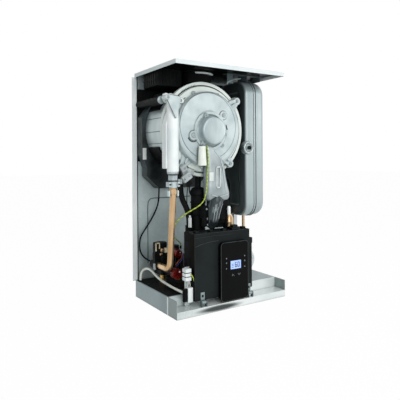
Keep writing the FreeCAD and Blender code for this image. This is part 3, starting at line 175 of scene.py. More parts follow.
def finish(name, slot, light, dark, patch, rough, grain, metal=0.0, stretch=(1.0, 1.0, 1.0), tint=None,
           corner_shade=CORNER_SHADE, **more):
    """A finish of two close colours in patches, a range of roughness, and a grain of (size, depth) in mm."""
    material = bpy.data.materials.new(name)
    material["slot"] = slot
    tree = cleared(material)
    place = add(tree, "TexCoord")["Object"]
    along = add(tree, "Mapping", {"Vector": place, "Scale": stretch})[0]
    noises = []
    for size, detail in ((patch, 3.0), (patch / 3, 3.0), (grain[0], 2.0)):
        inputs = {"Vector": along, "Scale": LUMP / (size * MM), "Detail": detail}
        noises.append(add(tree, "TexNoise", inputs)[0])
    cloud, rub, lumps = noises
    base = coat_over(tree, colour(dark), light, cloud, CLOUD_SPAN, (0.0, 1.0))
    if tint:
        base = tint(tree, place, base)
    # Painted shade: the colour darkens where the ambient occlusion node finds a corner.
    open_share = add(tree, "AmbientOcclusion", {"Distance": CORNER * MM}, samples=6)["AO"]
    base = coat_over(tree, base, CORNER_SHADE_COLOUR, open_share, SHADE_SPAN, (corner_shade, 0.0))
    polish = add(tree, "MapRange", mapped(rub, RUB_SPAN, rough))[0]
    edge = add(tree, "Bevel", {"Radius": EDGE_RADIUS * MM}, samples=4)[0]
    relief = {"Height": lumps, "Distance": grain[1] * MM, "Strength": BUMP, "Normal": edge}
    bump = add(tree, "Bump", relief)[0]
    sockets = {"Base Color": base, "Roughness": polish, "Normal": bump, "Metallic": metal}
    sockets.update({name.replace("_", " "): value for name, value in more.items()})
    add(tree, "OutputMaterial", {"Surface": add(tree, "BsdfPrincipled", sockets)[0]})
    print(name, "has patches of", patch, "mm")
    return material


print("edges are rounded by", EDGE_RADIUS, "mm for the light")

# %% [markdown]
# ## Stage
# Catalogue pictures are taken on a white sweep. Floor and world show white to the camera and to polished
# metal, but light the object at a plain level, so the inside of the case stays dark.

# %% White sweep
FLOOR_REACH = 12.0
CAMERA_SHARE = 0.98
SKY_LEVEL = 0.40


def shown_white(tree, rays, plain, share=1.0):
    """Mixes a plain shader with white, by a share, for the kinds of ray that are named."""
    path = add(tree, "LightPath")
    seen = 0.0
    for ray in rays:
        seen = add(tree, "Math", {0: seen, 1: path["Is %s Ray" % ray]}, operation="MAXIMUM")[0]
    part = add(tree, "Math", {0: seen, 1: share}, operation="MULTIPLY")[0]
    glow = add(tree, "Emission", {"Color": (1, 1, 1, 1), "Strength": 1.0})[0]
    return add(tree, "MixShader", {0: part, 1: plain, 2: glow})[0]


paper = bpy.data.materials.new("paper_sweep")
tree = cleared(paper)
matt = add(tree, "BsdfDiffuse", {"Color": colour("#F4F6F6")})[0]
add(tree, "OutputMaterial", {"Surface": shown_white(tree, ("Camera", "Glossy"), matt, CAMERA_SHARE)})
sides = ((-1, -1), (1, -1), (1, 1), (-1, 1))
floor_mesh = bpy.data.meshes.new("floor")
floor_mesh.from_pydata([(x * FLOOR_REACH, y * FLOOR_REACH, 0) for x, y in sides], [], [(0, 1, 2, 3)])
floor_mesh.materials.append(paper)
placed("floor", floor_mesh)

world = bpy.data.worlds.new("studio")
bpy.context.scene.world = world
sky = cleared(world)
plain = add(sky, "Background", {"Color": colour("#EEF3F6"), "Strength": SKY_LEVEL})[0]
add(sky, "OutputWorld", {"Surface": shown_white(sky, ("Camera", "Transmission", "Glossy"), plain)})
print("the sweep reaches", FLOOR_REACH, "m each way")

# %% [markdown]
# ## Light
# Large soft boxes stand round the boiler, the strongest in front, so that shadows have no hard edge. One
# lamp alone would leave half of the case black, and small ones would draw hard glints on the tubes.

# %% Soft boxes


def soft_box(name, place, target, size, power):
    """A square lamp of size metres at place, turned to look at target."""
    lamp = bpy.data.lights.new(name, "AREA")
    lamp.size = size
    lamp.energy = power
    holder = placed(name, lamp)
    holder.location = place
    aim = Vector(target) - holder.location
    holder.rotation_euler = aim.to_track_quat("-Z", "Y").to_euler()


soft_box("key", (-0.2, -2.0, 1.05), (0, 0, 0.35), 1.2, 16)
soft_box("left", (-1.8, -1.5, 1.0), (0, 0, 0.35), 1.0, 7)
soft_box("right", (1.8, -1.4, 0.9), (0, 0, 0.3), 1.0, 7.5)
soft_box("top", (0.3, -1.1, 2.2), (0, -0.1, 0.0), 1.0, 4)
print("lamps:", ", ".join(lamp.name for lamp in bpy.data.lights))

# %% [markdown]
# ## Sheet steel
# The case is folded from galvanised sheet. Its zinc crystals, the spangle, are patches a centimetre
# across, each a little lighter or darker: the cells of a Voronoi pattern. The lid has white enamel
# outside, and its downward faces are painted near black as painted shade, told apart by where a face looks.

# %% Spangle, painted shade and a painted reflection
SPANGLE = 9.0
# Middle and reach in mm of a painted dark reflection on the front lip.
REFLECTION_MIDDLE, REFLECTION_REACH = (140, 0, 9.5), (85, 9, 9.5)


def spangled(tree, place, base):
    """Darkens the base by up to an eighth, cell by cell."""
    cells = add(tree, "TexVoronoi", {"Vector": place, "Scale": 1 / (SPANGLE * MM)})["Color"]
    tone = add(tree, "SeparateColor", {0: cells})[0]
    return coat_over(tree, base, "#6F7E82", tone, (0.0, 1.0), (0.0, 0.12))


def shaded_facing(axis, low, high, coat):
    """A tint of painted shade: a dark colour on faces whose normal along an axis is under low, fading out at
    high.
    """
    def tint(tree, place, base):
        normal = add(tree, "NewGeometry")["True Normal"]
        part = add(tree, "SeparateXYZ", {0: normal})[axis]
        return coat_over(tree, base, coat, part, (low, high), (1.0, 0.0))
    return tint


def shaded_with_dark_reflection(tree, place, base):
    """Paints shade on left-facing folds and a dark reflection: distance over reach, 0 in its middle, 1 at its
    edge.
    """
    base = shaded_facing("X", -0.9, -0.5, "#84918F")(tree, place, base)
    moved = add(tree, "VectorMath", {0: place, 1: at(*REFLECTION_MIDDLE).tolist()}, operation="SUBTRACT")[0]
    spread = [1 / (reach * MM) for reach in REFLECTION_REACH]
    scaled = add(tree, "VectorMath", {0: moved, 1: spread}, operation="MULTIPLY")[0]
    far = add(tree, "VectorMath", {0: scaled}, operation="LENGTH")["Value"]
    return coat_over(tree, base, "#2B3233", far, (0.45, 1.15), (0.97, 0.0), interpolation_type="SMOOTHSTEP")


print("spangle cells of", SPANGLE, "mm")

# %% Galvanised sheet and enamelled lid
# Zinc on rolled steel: cool grey, half matt, so it takes soft reflections.
GALVANISED = finish("galvanised_sheet", "galvanised", "#D3E1E1", "#BECECF", 110, (0.34, 0.46), (2.5, 0.01),
                    0.4, tint=spangled)
# The same sheet painted lighter as if lit flat on, with painted shade and a painted dark reflection.
LIT_ZINC_SHEET = finish("painted_lit_zinc_sheet", "galvanised", "#F2F7F5", "#C8D3D2", 170, (0.24, 0.34), (6.0, 0.01),
                      0.25, tint=shaded_with_dark_reflection)
# A darker copy of the sheet for the pan and the hinge straps.
PAN_SHEET = finish("darker_zinc_sheet", "galvanised", "#97A6A7", "#839395", 90, (0.32, 0.42), (4.0, 0.01), 0.4,
                   tint=spangled)
# A near-white sheet for painted light: the lit faces of the wings, the flue's rim and the slit by the cheek.
PAINTED_LIGHT_WHITE = finish("lit_white_sheet", "white_paint", "#F8FCFC", "#EDF3F3", 60, (0.30, 0.40), (6.0, 0.008),
                    corner_shade=0.1)
# Stamped lines hold shadow and drawing oil.
PRESSED_LINE = finish("pressed_line", "galvanised", "#6C797C", "#5B686B", 40, (0.4, 0.5), (2.0, 0.01), 0.4)
# Baked enamel: even, slightly glossy; its downward faces are painted near black: painted shade.
LID = finish("enamelled_lid", "white_paint", "#EAF0F0", "#DDE6E6", 80, (0.28, 0.38), (1.6, 0.02),
             tint=shaded_facing("Z", -0.7, -0.4, "#050606"), Specular_IOR_Level=0.12)

# %% [markdown]
# ## Castings and drum
# The fan scroll and the mixing duct are die-cast aluminium: matt, mottled by the die. The ring and the
# door have a warm white coat. The drum is stainless sheet, brushed round its axis while it was spun, so
# its noise is stretched.

# %% Cast, coated and brushed metals
# Die-cast aluminium: pale grey, matt, with the die's faint cloud.
CASTING = finish("die_cast_aluminium", "casting", "#C6D1D2", "#AFBCBE", 26, (0.36, 0.48), (1.6, 0.06), 0.35)
# The duct's die is older, so its cloud is stronger.
DUCT_CASTING = finish("duct_casting", "casting", "#AEB8BA", "#8E999B", 30, (0.30, 0.42), (1.3, 0.04), 0.45)
# The cap is turned after casting: darker, with the tool's faint drag.
CAP_CASTING = finish("turned_cap", "casting", "#B9C5C6", "#98A5A8", 22, (0.34, 0.46), (1.6, 0.06), 0.5,
                     stretch=(1.0, 1.0, 0.3))
# A warm ceramic coat on the ring, door and their ears.
RING_COAT = finish("coated_ring", "casting", "#E6EEE9", "#D8E2DC", 25, (0.36, 0.48), (1.4, 0.03), 0.1)
# Brushed stainless: streaks round the drum, a broad soft shine.
BRUSHED = finish("brushed_stainless", "stainless", "#CFDADA", "#B5C3C3", 30, (0.30, 0.42), (0.8, 0.02), 0.55,
                 stretch=(0.15, 1.0, 0.15))
# Zinc plate on screws and clamps: even grey.
ZINC = finish("zinc_plate", "stainless", "#B4BFC1", "#99A5A8", 20, (0.30, 0.40), (3.0, 0.01), 0.45)
# Enamelled iron of the fan motor, dark and matt.
MOTOR = finish("painted_motor", "motor_iron", "#5A5E60", "#44484A", 12, (0.4, 0.55), (1.2, 0.04))
# Rolled fins: bright metal, lightly streaked.
FIN = finish("rolled_fin", "coil_metal", "#BCC2C4", "#9AA1A3", 10, (0.3, 0.45), (0.8, 0.02), 0.8)
# The pump's drawn can is the brightest metal inside.
PUMP_CAN = finish("pump_can", "casting", "#D4DADB", "#C0C8CA", 25, (0.26, 0.38), (0.9, 0.02), 0.7)
# The expansion vessel is sprayed a satin grey; its left side, which faces the drum, is painted darker as
# painted shade.
VESSEL = finish("vessel_enamel", "vessel_paint", "#B4C0C1", "#A3B0B2", 90, (0.28, 0.38), (6.0, 0.01), 0.25,
                tint=shaded_facing("X", -0.98, -0.5, "#424A4C"))

# %% [markdown]
# ## Copper and brass
# Drawn copper is bright where it was handled and browner where it met heat and flux, in long patches
# along the tube. Brass tails are yellower and turned, so they shine more evenly.

# %% Copper and brass
# Drawn tube: long soft patches, a satin shine.
COPPER = finish("drawn_copper", "copper", "#DCBE98", "#B8976F", 20, (0.24, 0.36), (1.2, 0.012), 0.85,
                stretch=(1.0, 1.0, 0.3))
# Turned brass: even and shiny.
BRASS = finish("turned_brass", "brass", "#D9C07C", "#B89B57", 14, (0.22, 0.34), (0.8, 0.015), 0.9)

# %% [markdown]
# ## Black plastics
# Most dark pieces are glass-filled nylon with a fine moulded grain. The control box is a matt
# polycarbonate blend, its display front polished acrylic. Black mouldings reflect little, so their
# specular level is low.

# %% Dark mouldings and rubber
# Glass-filled nylon: almost no gloss.
BLACK = finish("black_nylon", "black_plastic", "#131516", "#090A0B", 18, (0.40, 0.55), (0.9, 0.04),
               Specular_IOR_Level=0.07)
# The control box is a shade greyer; its side that looks into the case is painted black as painted shade.
BOX = finish("control_box_shell", "black_plastic", "#232828", "#1C2020", 40, (0.42, 0.54), (0.8, 0.03),
             tint=shaded_facing("X", -0.9, -0.5, "#060707"), Specular_IOR_Level=0.06)
# Ridges of the same moulding, painted paler: painted highlights along them.
RIDGE_HIGHLIGHT = finish("painted_ridge_highlight", "black_plastic", "#3C4241", "#2C3131", 12, (0.34, 0.46), (0.8, 0.02),
                   Specular_IOR_Level=0.25)
# The collector is black satin nylon; the grey cloud patches in its colour are a painted sheen.
COLLECTOR = finish("satin_nylon", "black_plastic", "#4A5354", "#15191A", 55, (0.30, 0.42), (2.0, 0.02),
                   Specular_IOR_Level=0.2)
# Acrylic: smooth enough to mirror the room faintly.
GLOSS = finish("display_front", "gloss_black", "#090A0B", "#050606", 50, (0.10, 0.16), (3.0, 0.003),
               Specular_IOR_Level=0.08)
# Smoked polycarbonate: dark and glossy; the long pale patches in its colour are painted reflections.
SMOKED = finish("smoked_polycarbonate", "gloss_black", "#4C5658", "#20272A", 14, (0.06, 0.14), (2.5, 0.03),
                0.5, stretch=(1.0, 1.0, 0.35))
# Rubber of hoses, leads and mats: duller than any moulding.
RUBBER = finish("black_rubber", "black_rubber", "#121415", "#0A0B0C", 14, (0.5, 0.65), (0.8, 0.03),
                Specular_IOR_Level=0.1)

# %% [markdown]
# ## Pale and coloured plastics
# White nylon and red acetal mark the parts that a fitter touches. Nylon is a little cloudy with a soft
# shine; acetal is denser and shinier. The display glows weakly from behind.

# %% Pale mouldings and boards
# Nylon in grey, white and cream: soft shine, faint cloud.
GREY = finish("grey_nylon", "grey_plastic", "#B3BABA", "#9AA2A3", 20, (0.4, 0.5), (0.9, 0.03))
WHITE = finish("white_nylon", "white_plastic", "#F7FBFA", "#E6EDEC", 30, (0.34, 0.44), (1.1, 0.02))
CREAM = finish("cream_nylon", "cream_plastic", "#E9DFC4", "#CDBF9C", 12, (0.36, 0.46), (1.0, 0.03))
# Acetal: deep red with clear highlights.
RED = finish("red_acetal", "red_plastic", "#861A14", "#4A0A08", 9, (0.18, 0.30), (0.9, 0.02))
# Soft vinyl sheath of the mains cable.
SHEATH = finish("white_sheath", "white_sheath", "#F4F7EF", "#E4EADD", 20, (0.36, 0.46), (1.0, 0.02))
# Lacquered glass-fibre board, and the chalky mineral board behind the burner door.
BOARD = finish("lacquered_board", "circuit_board", "#2E6B45", "#1F5033", 10, (0.3, 0.4), (1.0, 0.03))
MINERAL = finish("mineral_board", "mineral_board", "#DCD8CB", "#C6C1B2", 8, (0.8, 0.95), (1.2, 0.15))

# %% Labels, display and wires
# Label film, printing ink and display segments: flat and matt.
LABEL = finish("blank_label", "white_plastic", "#EEF1EF", "#DFE4E1", 15, (0.45, 0.55), (1.0, 0.01))
MARK = finish("printed_mark", "grey_plastic", "#7D8586", "#6A7273", 5, (0.4, 0.5), (0.8, 0.01))
DIGIT = finish("display_segment", "display", "#26324E", "#1D2740", 5, (0.3, 0.4), (0.8, 0.01))
# Vinyl on two thin wires.
ORANGE_WIRE = finish("orange_wire", "red_plastic", "#D8713A", "#B8562A", 6, (0.36, 0.46), (0.8, 0.02))
BLUE_WIRE = finish("blue_wire", "display", "#5A66C8", "#434FA8", 6, (0.36, 0.46), (0.8, 0.02))
# A back-lit liquid crystal panel: pale blue, even.
LCD = finish("lit_display", "display", "#B4CCFF", "#9FBCFB", 12, (0.2, 0.3), (2.0, 0.004),
             Emission_Color=colour("#9CBBFF"), Emission_Strength=0.35)

STRIPE = 6.0
BAND = 0.32


def striped(tree, place, base):
    """Green bands a stripe apart, wound round the sheath; at scale 1 they are BAND of a unit apart."""
    wave = {"Vector": place, "Scale": BAND / (STRIPE * MM)}
    bands = add(tree, "TexWave", wave, bands_direction="DIAGONAL")[1]
    return coat_over(tree, base, "#8FAE3E", bands, (0.45, 0.55), (0.0, 1.0))


# The earth core's sheath: yellow with green bands.
EARTH = finish("earth_sheath", "earth_sheath", "#CFDA5A", "#BFCC4C", 10, (0.36, 0.46), (0.9, 0.02),
               tint=striped)
print(len(bpy.data.materials), "materials in all")

# %% [markdown]
# ## Dressing the frame
# The solids keep their shape and place. Only the material in their slot is changed, node by node. Copies
# could be dressed instead, but then every part would be there twice.

# %% One finish for each node
DRESS = (
    (GALVANISED, "back_panel"),
    (LIT_ZINC_SHEET, "front_channel"),
    (PAN_SHEET, "base_pan hinge_straps"),
    (PRESSED_LINE, "cross_brace hinge_brackets"),
    (LID, "top_panel"),
    (CASTING, "fan_housing"),
    (DUCT_CASTING, "mixing_duct"),
    (CAP_CASTING, "motor_cap"),
    (RING_COAT, "front_ring burner_door"),
    (BRUSHED, "exchanger_drum burner_tube plate_exchanger"),
    (ZINC, "pipe_union diverter_stem"),
    (FIN, "exchanger_coil fan_impeller"),
    (PUMP_CAN, "pump_motor"),
    (VESSEL, "vessel_inner_shell vessel_outer_shell"),
    (MOTOR, "fan_motor"),
    (COPPER, "flow_pipe gas_pipe vessel_pipe pipe_clips"),
    (BRASS, "connection_tails"),
    (COLLECTOR, "rear_collector"),
    (BLACK, "flue_outlet air_silencer support_tube flow_block gas_valve_coil cable_glands pump_body"),
    (BLACK, "pump_impeller condensate_trap gas_valve diverter_actuator pressure_sensor vessel_valve"),
    (BLACK, "control_box_rear safety_valve"),
    (BOX, "control_box_cover"),
    (GLOSS, "display_panel"),
    (LCD, "display_window"),
    (GREY, "flow_sensor"),
    (WHITE, "water_manifold terminal_block"),
    (RED, "safety_knob"),
    (MINERAL, "burner_insulation"),
    (BOARD, "control_board"),
    (RUBBER, "vessel_diaphragm condensate_hose sensor_lead return_pipe"),
    (SHEATH, "mains_cable ignition_electrode"),
    (EARTH, "earth_wire"),
)
dressed = 0
for material, names in DRESS:
    for name in names.split():
        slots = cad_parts[name].data.materials
        slots.clear()
        slots.append(material)
        dressed += 1
print("dressed", dressed, "of", len(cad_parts), "nodes")

# %% [markdown]
# ## Hoses, cable and wires
# Each is a fixed length of something flexible, held at both ends inside the boiler. A NURBS curve of
# order 3 with given points bends as they do, without corners, and a round bevel gives it its
# thickness.

# %% A piece for a body, and a cord along its route


def hand_over(name, data, material, body, node):
    """Makes a piece of a mesh or curve, gives it to its body, and lets it stand for a node."""
    data.materials.append(material)
    piece = placed(name, data)
    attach(piece, body)
    if node:
        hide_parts(node)
    return piece


def cord(name, route, radius, material, node=None):
    """A round cord along a NURBS spline with the route's points as its control points."""
    curve = bpy.data.curves.new(name, "CURVE")
    curve.dimensions = "3D"
    curve.bevel_depth = radius * MM
    curve.bevel_resolution = 4
    curve.use_fill_caps = True
    spline = curve.splines.new("NURBS")
    spline.points.add(len(route) - 1)
    points = np.ones((len(route), 4))
    points[:, :3] = at(*np.array(route, float).T)
    spline.points.foreach_set("co", points.ravel())
    spline.order_u = 3
    spline.use_endpoint_u = True
    spline.resolution_u = 8
    piece = hand_over(name, curve, material, "frame", node)


# %% Routes in case millimetres
HOSE = [(88, 128, 356), (88, 128, 337.5), (90.3, 126.2, 319.3), (94.9, 122.6, 302), (101.6, 117.4, 286),
        (106.2, 113.8, 268.7), (108.5, 112, 250.5), (108.5, 112, 232)]
CABLE = [(8.5, 241, 54), (8.5, 241, 65), (10.4, 237.4, 80), (15.2, 227.6, 90.6), (21, 214.6, 94),
         (26, 202, 90), (29.4, 189.5, 82.5), (31.5, 173.5, 75), (33.8, 152, 69.3), (35.4, 124, 65.2),
         (36, 92, 62.8), (37.5, 62, 61), (40.5, 44, 60), (40.5, 31, 60)]
LEAD = [(74, 240, 339), (74, 240, 312), (70, 241, 284), (58, 243, 257), (42, 244, 231), (24, 245, 207),
        (11, 246, 188), (7.5, 246, 165), (9, 245, 141), (22, 242, 122), (34, 237, 113.5), (44, 227, 108.5),
        (49, 214, 107), (49, 200, 107)]
EARTH_ROUTE = [(135, 52, 470), (134.5, 47.5, 448), (133, 44.5, 420), (129, 43, 380), (126, 42.5, 345),
               (121, 44.5, 315), (110, 51, 298), (92, 63, 285), (71, 76, 271), (54, 87, 254), (47, 100, 230),
               (52, 115, 207), (70, 131, 194), (86, 142, 184), (96, 150, 177), (103, 155.5, 172),
               (104, 156, 165)]
cord("hose_black", HOSE, 8.5, RUBBER, "condensate_hose")
cord("cable_mains", CABLE, 3.75, SHEATH, "mains_cable")
cord("lead_sensor", LEAD, 2.5, RUBBER, "sensor_lead")
cord("wire_earth", EARTH_ROUTE, 1.75, EARTH, "earth_wire")

# %% [markdown]
# ## From rings to a skin
# Nearly every small part here is a stack of closed rings in one array. One function skins them with
# quads, closes the ends and hands the piece to its body. A stack whose last ring repeats its first is
# closed into a loop instead.

# %% Rings along an axis and their skin
AXES = {"x": (1, 2, 0), "y": (0, 2, 1), "z": (0, 1, 2)}
CREASE = 35


def laid(axis, across, up, along):
    """Puts ring points given across, up and along an axis in x, y, z order, and turns them to metres."""
    place = [None, None, None]
    for value, index in zip(np.broadcast_arrays(across, up, along), AXES[axis]):
        place[index] = value
    return at(*place)


def join(name, stacks, material, body="frame", replaced=None):
    """Skins each stack of rings with quads, caps or loops its ends, and makes one piece of them all."""
    points, faces, count = [], [], 0
    for rings in stacks:
        looped = np.allclose(rings[0], rings[-1])
        rings = rings[:-1] if looped else rings
        rows, columns = rings.shape[:2]
        index = count + np.arange(rows * columns).reshape(rows, columns)
        here, there = index, np.roll(index, -1, axis=0)
        if not looped:
            here, there = here[:-1], there[:-1]
            faces += [index[0].tolist(), index[-1].tolist()]
        quads = np.stack([here, np.roll(here, -1, 1), np.roll(there, -1, 1), there], axis=-1)
        faces += quads.reshape(-1, 4).tolist()
        points.append(rings.reshape(-1, 3))
        count += rows * columns
    mesh = bpy.data.meshes.new(name)
    mesh.from_pydata(np.concatenate(points).tolist(), [], faces)
    skin = bmesh.new()
    skin.from_mesh(mesh)
    bmesh.ops.recalc_face_normals(skin, faces=skin.faces)
    skin.to_mesh(mesh)
    skin.free()
    mesh.shade_smooth()
    mesh.set_sharp_from_angle(angle=math.radians(CREASE))
    hand_over(name, mesh, material, body, replaced)
    print(name, "has", len(mesh.polygons), "faces")


print("faces that meet at over", CREASE, "degrees keep a sharp edge")

# %% [markdown]
# ## Slabs and turned parts
# A slab keeps one outline and changes its depth, so it suits plates, plugs and ears. A turned part keeps
# an axis and changes its radius, so it suits bosses, caps and screw heads.

# %% Slabs


def slab(axis, circles, profile, count=48):
    """The hull of circles (across, up, radius): each direction's point is on the one that reaches furthest.
    The outline is drawn once for each (depth, inset) of the profile, drawn in by the inset."""
    angle = np.linspace(0, 2 * np.pi, count, endpoint=False) + np.pi / count
    way = np.stack([np.cos(angle), np.sin(angle)])
    circle = np.array(circles, float)
    furthest = circle[np.argmax(circle[:, :2] @ way + circle[:, 2:], axis=0)]
    depth, inset = np.array(profile, float).T[:, :, None]
    radius = furthest[:, 2] - inset
    return laid(axis, furthest[:, 0] + radius * way[0], furthest[:, 1] + radius * way[1], depth)


def edged(start, end, edge):
    """A slab's profile from start to end with a small chamfer at both faces."""
    step = math.copysign(edge, end - start)
    return [(start, edge), (start + step, 0), (end - step, 0), (end, edge)]


def corners(low, high, base, top, radius):
    """The four corner circles of a rounded rectangle."""
    return [(a, b, radius) for a in (low + radius, high - radius) for b in (base + radius, top - radius)]


def bricks(*rows, axis="y"):
    """Rounded bricks from a cutting list: low, high, base, top, two depths, corner radius and chamfer."""
    return [slab(axis, corners(*row[:4], row[6]), edged(*row[4:6], row[7])) for row in rows]


print("a brick is cut as", len(edged(0, 10, 1)), "rings")

# %% Turned parts


def turned(axis, centre, profile, count=40):
    """A profile of (radius, depth) spun about an axis through centre."""
    angle = np.linspace(0, 2 * np.pi, count, endpoint=False)
    radius, depth = np.array(profile, float).T[:, :, None]
    return laid(axis, centre[0] + radius * np.cos(angle), centre[1] + radius * np.sin(angle), depth)


def bead(axis, centre, radius, depth, size):
    """A ring of round section: a small circle spun about an axis."""
    angle = np.linspace(0, 2 * np.pi, 13)
    profile = np.stack([radius + size * np.cos(angle), depth + size * np.sin(angle)], axis=1)
    return turned(axis, centre, profile, 72)


def screws(*rows):
    """Pan heads with a round recess, seen from the front, one for each (across, up, radius, base, top)."""
    head = [(1, 0), (1, 0.5), (0.86, 0.9), (0.55, 1), (0.42, 1), (0.36, 0.55), (0.02, 0.5)]
    return [turned("y", (x, z), [(share * radius, base + level * (top - base)) for share, level in head], 20)
            for x, z, radius, base, top in rows]


def heading(angle):
    """The direction at an angle in degrees: its cosine and sine."""
    return np.array([math.cos(math.radians(angle)), math.sin(math.radians(angle))])


print("a screw head has", screws((0, 0, 3, 2, 0))[0].shape[:2], "rings and points")

# %% [markdown]
# ## Door arms and screws
# The scroll is cast with arms that reach out to the ring's ears, where long screws clamp door and drum
# together. An arm tapers to a round pad, so it is the hull of two circles.

# %% Arms to the ears
DRUM = np.array([148.0, 520.0])
EARS = np.array([(266.2, 610.7), (238.5, 415.9), (65.0, 409.8), (25.9, 605.5)])
TOP_EAR = EARS[3]
LUG_ANGLES = (20, 68, 112, 262, 335)
arms, heads = [], []


def arm(tip, root_share, root, tip_share, end, depths):
    """The hull of two circles of radius root and end, at shares of the way from the drum to the tip."""
    circles = ((root_share, root), (tip_share, end))
    spots = [(*(DRUM + share * (tip - DRUM)), radius) for share, radius in circles]
    arms.append(slab("y", spots, edged(*depths)))


for ear in EARS[:3]:
    arm(ear, 0.56, 30, 1, 9, (78, 85, 1.4))
    arm(ear, 0.66, 5, 0.9, 3, (72, 80, 1.2))
    arms.append(turned("y", ear, [(11.5, 88), (11.5, 79), (10.5, 77.6), (7, 77.6), (6.4, 79), (0.3, 79)], 32))
    heads.append((*ear, 5.2, 79, 75.6))
arm(TOP_EAR, 0.56, 20, 0.74, 10, (75, 83, 1.6))
for angle in LUG_ANGLES:
    tip = DRUM + 114 * heading(angle)
    arm(tip, 0.9, 7, 1, 5, (74, 83, 1.2))
    heads.append((*tip, 3.0, 74, 71.5))
join("door_arms", arms, CASTING)
join("door_screws", screws(*heads), ZINC)

# %% [markdown]
# ## Fan face
# The scroll slopes down to a broad flange on the door. Its front is machined inside a shallow raised
# ring, and screw pads stand round the motor. All of these are turned.

# %% Flange, raised ring and pads
FLANGE, FACE = (152, 520), (147, 528)
UPPER_PAD, LOWER_PAD = (199.4, 562), (92.3, 499)
flange = [(97, 83.5), (97, 62.6), (101, 61.5), (104, 61.8), (109, 63.4), (111, 66), (112, 80.6), (112, 83.5),
          (97, 83.5)]
join("fan_flange", [turned("y", FLANGE, flange, 96)], CASTING)
raised = [(46, 62.4), (46, 61), (98, 61), (100, 62.4), (46, 62.4)]
join("fan_face", [turned("y", FACE, raised, 96)], CASTING)
# A dark bead is painted shade: the shadow line where the raised face meets the flange.
join("fan_face_shade_line", [bead("y", FACE, 98.4, 61, 0.55)], PRESSED_LINE)
pads = [(UPPER_PAD, 13), (LOWER_PAD, 14), ((127.6, 549.6), 8), ((196, 472), 7)]
pad = [(1, 62), (1, 59.2), (0.92, 58.2), (0.62, 58.2), (0.56, 60.2), (0.02, 60.2)]
discs = [turned("y", place, [(share * size, depth) for share, depth in pad], 28) for place, size in pads]
bridges = [slab("y", [(*LOWER_PAD, 9), (112, 508, 12)], edged(59.5, 62.2, 0.8)),
           slab("y", [(*UPPER_PAD, 9), (184, 548, 12)], edged(59.5, 62.2, 0.8))]
join("fan_pads", discs + bridges, CASTING)
join("fan_pad_screws", screws(*[(*place, 0.42 * size, 60.2, 57.4) for place, size in pads]), ZINC)
# Dark beads round the pads are painted shade at their feet.
join("fan_pad_shade_lines", [bead("y", place, size + 0.9, 61, 0.8) for place, size in pads[:3]], PRESSED_LINE)

# %% [markdown]
# ## Strips
# The slots beside the motor let the winding breathe; black strokes stand for them, painted shade for the
# openings. A stroke, a seam or a printed mark is a flat band along a path: two edges beside it, and the
# same two raised along a normal. Cutting real slots would take a boolean and look the same.

# %% Strips and the motor's slots
OUT = (0.0, -1.0, 0.0)


def headings(path):
    """The direction of travel at each point of a path, all round when its last point repeats the first."""
    run = np.gradient(path, axis=0)
    if np.allclose(path[0], path[-1]):
        run[0] = run[-1] = path[1] - path[-2]
    return run / np.linalg.norm(run, axis=1, keepdims=True)


def strip(path, width, depth, normal=OUT):
    """A flat band: half the width to each side of the path, raised by depth along the normal."""
    path = np.array(path, float)
    rise = np.broadcast_to(np.array(normal, float), path.shape)
    rise = rise / np.linalg.norm(rise, axis=1, keepdims=True)
    side = np.cross(headings(path), rise) * width / 2
    high = path + rise * depth
    return at(*np.moveaxis(np.stack([path - side, path + side, high + side, high - side], axis=1), -1, 0))


def stroke(depth, path, width, rise):
    """A strip on an upright plane at a depth, its path given across and up."""
    return strip([(x, depth, z) for x, z in path], width, rise)


round_pad = [LOWER_PAD + 18 * heading(angle) for angle in np.linspace(200, 305, 12)]
join("fan_slots", [
    stroke(61, [(209, 534), (214, 519)], 3.4, 0.6),
    stroke(61, [(211, 507), (206, 494)], 3.4, 0.6),
    stroke(61, [(203, 486), (196, 478)], 2.4, 0.6),
    stroke(61, round_pad, 2.6, 0.6),
], BLACK)

# %% [markdown]
# ## Motor cap
# The cap is turned: a flat face, a tight round edge that catches the light, and a skirt that flares onto
# the boss. Three lugs hold it down. The solid has a plain step there, so this profile stands for it.

# %% Turned cap
FAN = (152.0, 514.0)
cap = [(0.4, 36.2), (12, 36), (34, 36.1), (37.2, 36.5), (39.4, 37.6), (40.6, 39.2), (41.2, 41.5), (42, 47),
       (44, 54), (46.5, 58), (50.5, 60.2), (54.5, 60.6), (54.5, 62)]
join("motor_cap_turned", [turned("y", FAN, cap, 72)], CAP_CASTING, replaced="motor_cap")
ways = [heading(angle) for angle in (112, 232, 352)]
join("motor_lugs", [slab("y", [(*(FAN + 40 * way), 8), (*(FAN + 50 * way), 6)], edged(53, 60.5, 1.2))
                    for way in ways], CAP_CASTING)
join("motor_lug_screws", screws(*[(*(FAN + 50 * way), 3.4, 53, 50) for way in ways]), ZINC)

# %% [markdown]
# ## Ring seal
# A dark glass cord lies in the ring's groove and seals the door; near the top left a short ratchet of
# teeth presses it down. The cord is a ring of round section.

# %% Seal cord and teeth
teeth = [stroke(87.9, [DRUM + reach * heading(angle) for reach in (128.5, 135.5)], 1.5, 0.8)
         for angle in np.linspace(104, 126, 10)]
join("seal_cord", [bead("y", DRUM, 131, 88.6, 1.7)], BLACK)
join("seal_teeth", teeth, PRESSED_LINE)

# %% [markdown]
# ## Manifold
# The white manifold is a closed tube on a web that bends over towards the drum; the hull of a few small
# circles has such a bend. It hangs from the ring by a plate, and a gusset ties it to the support tube.

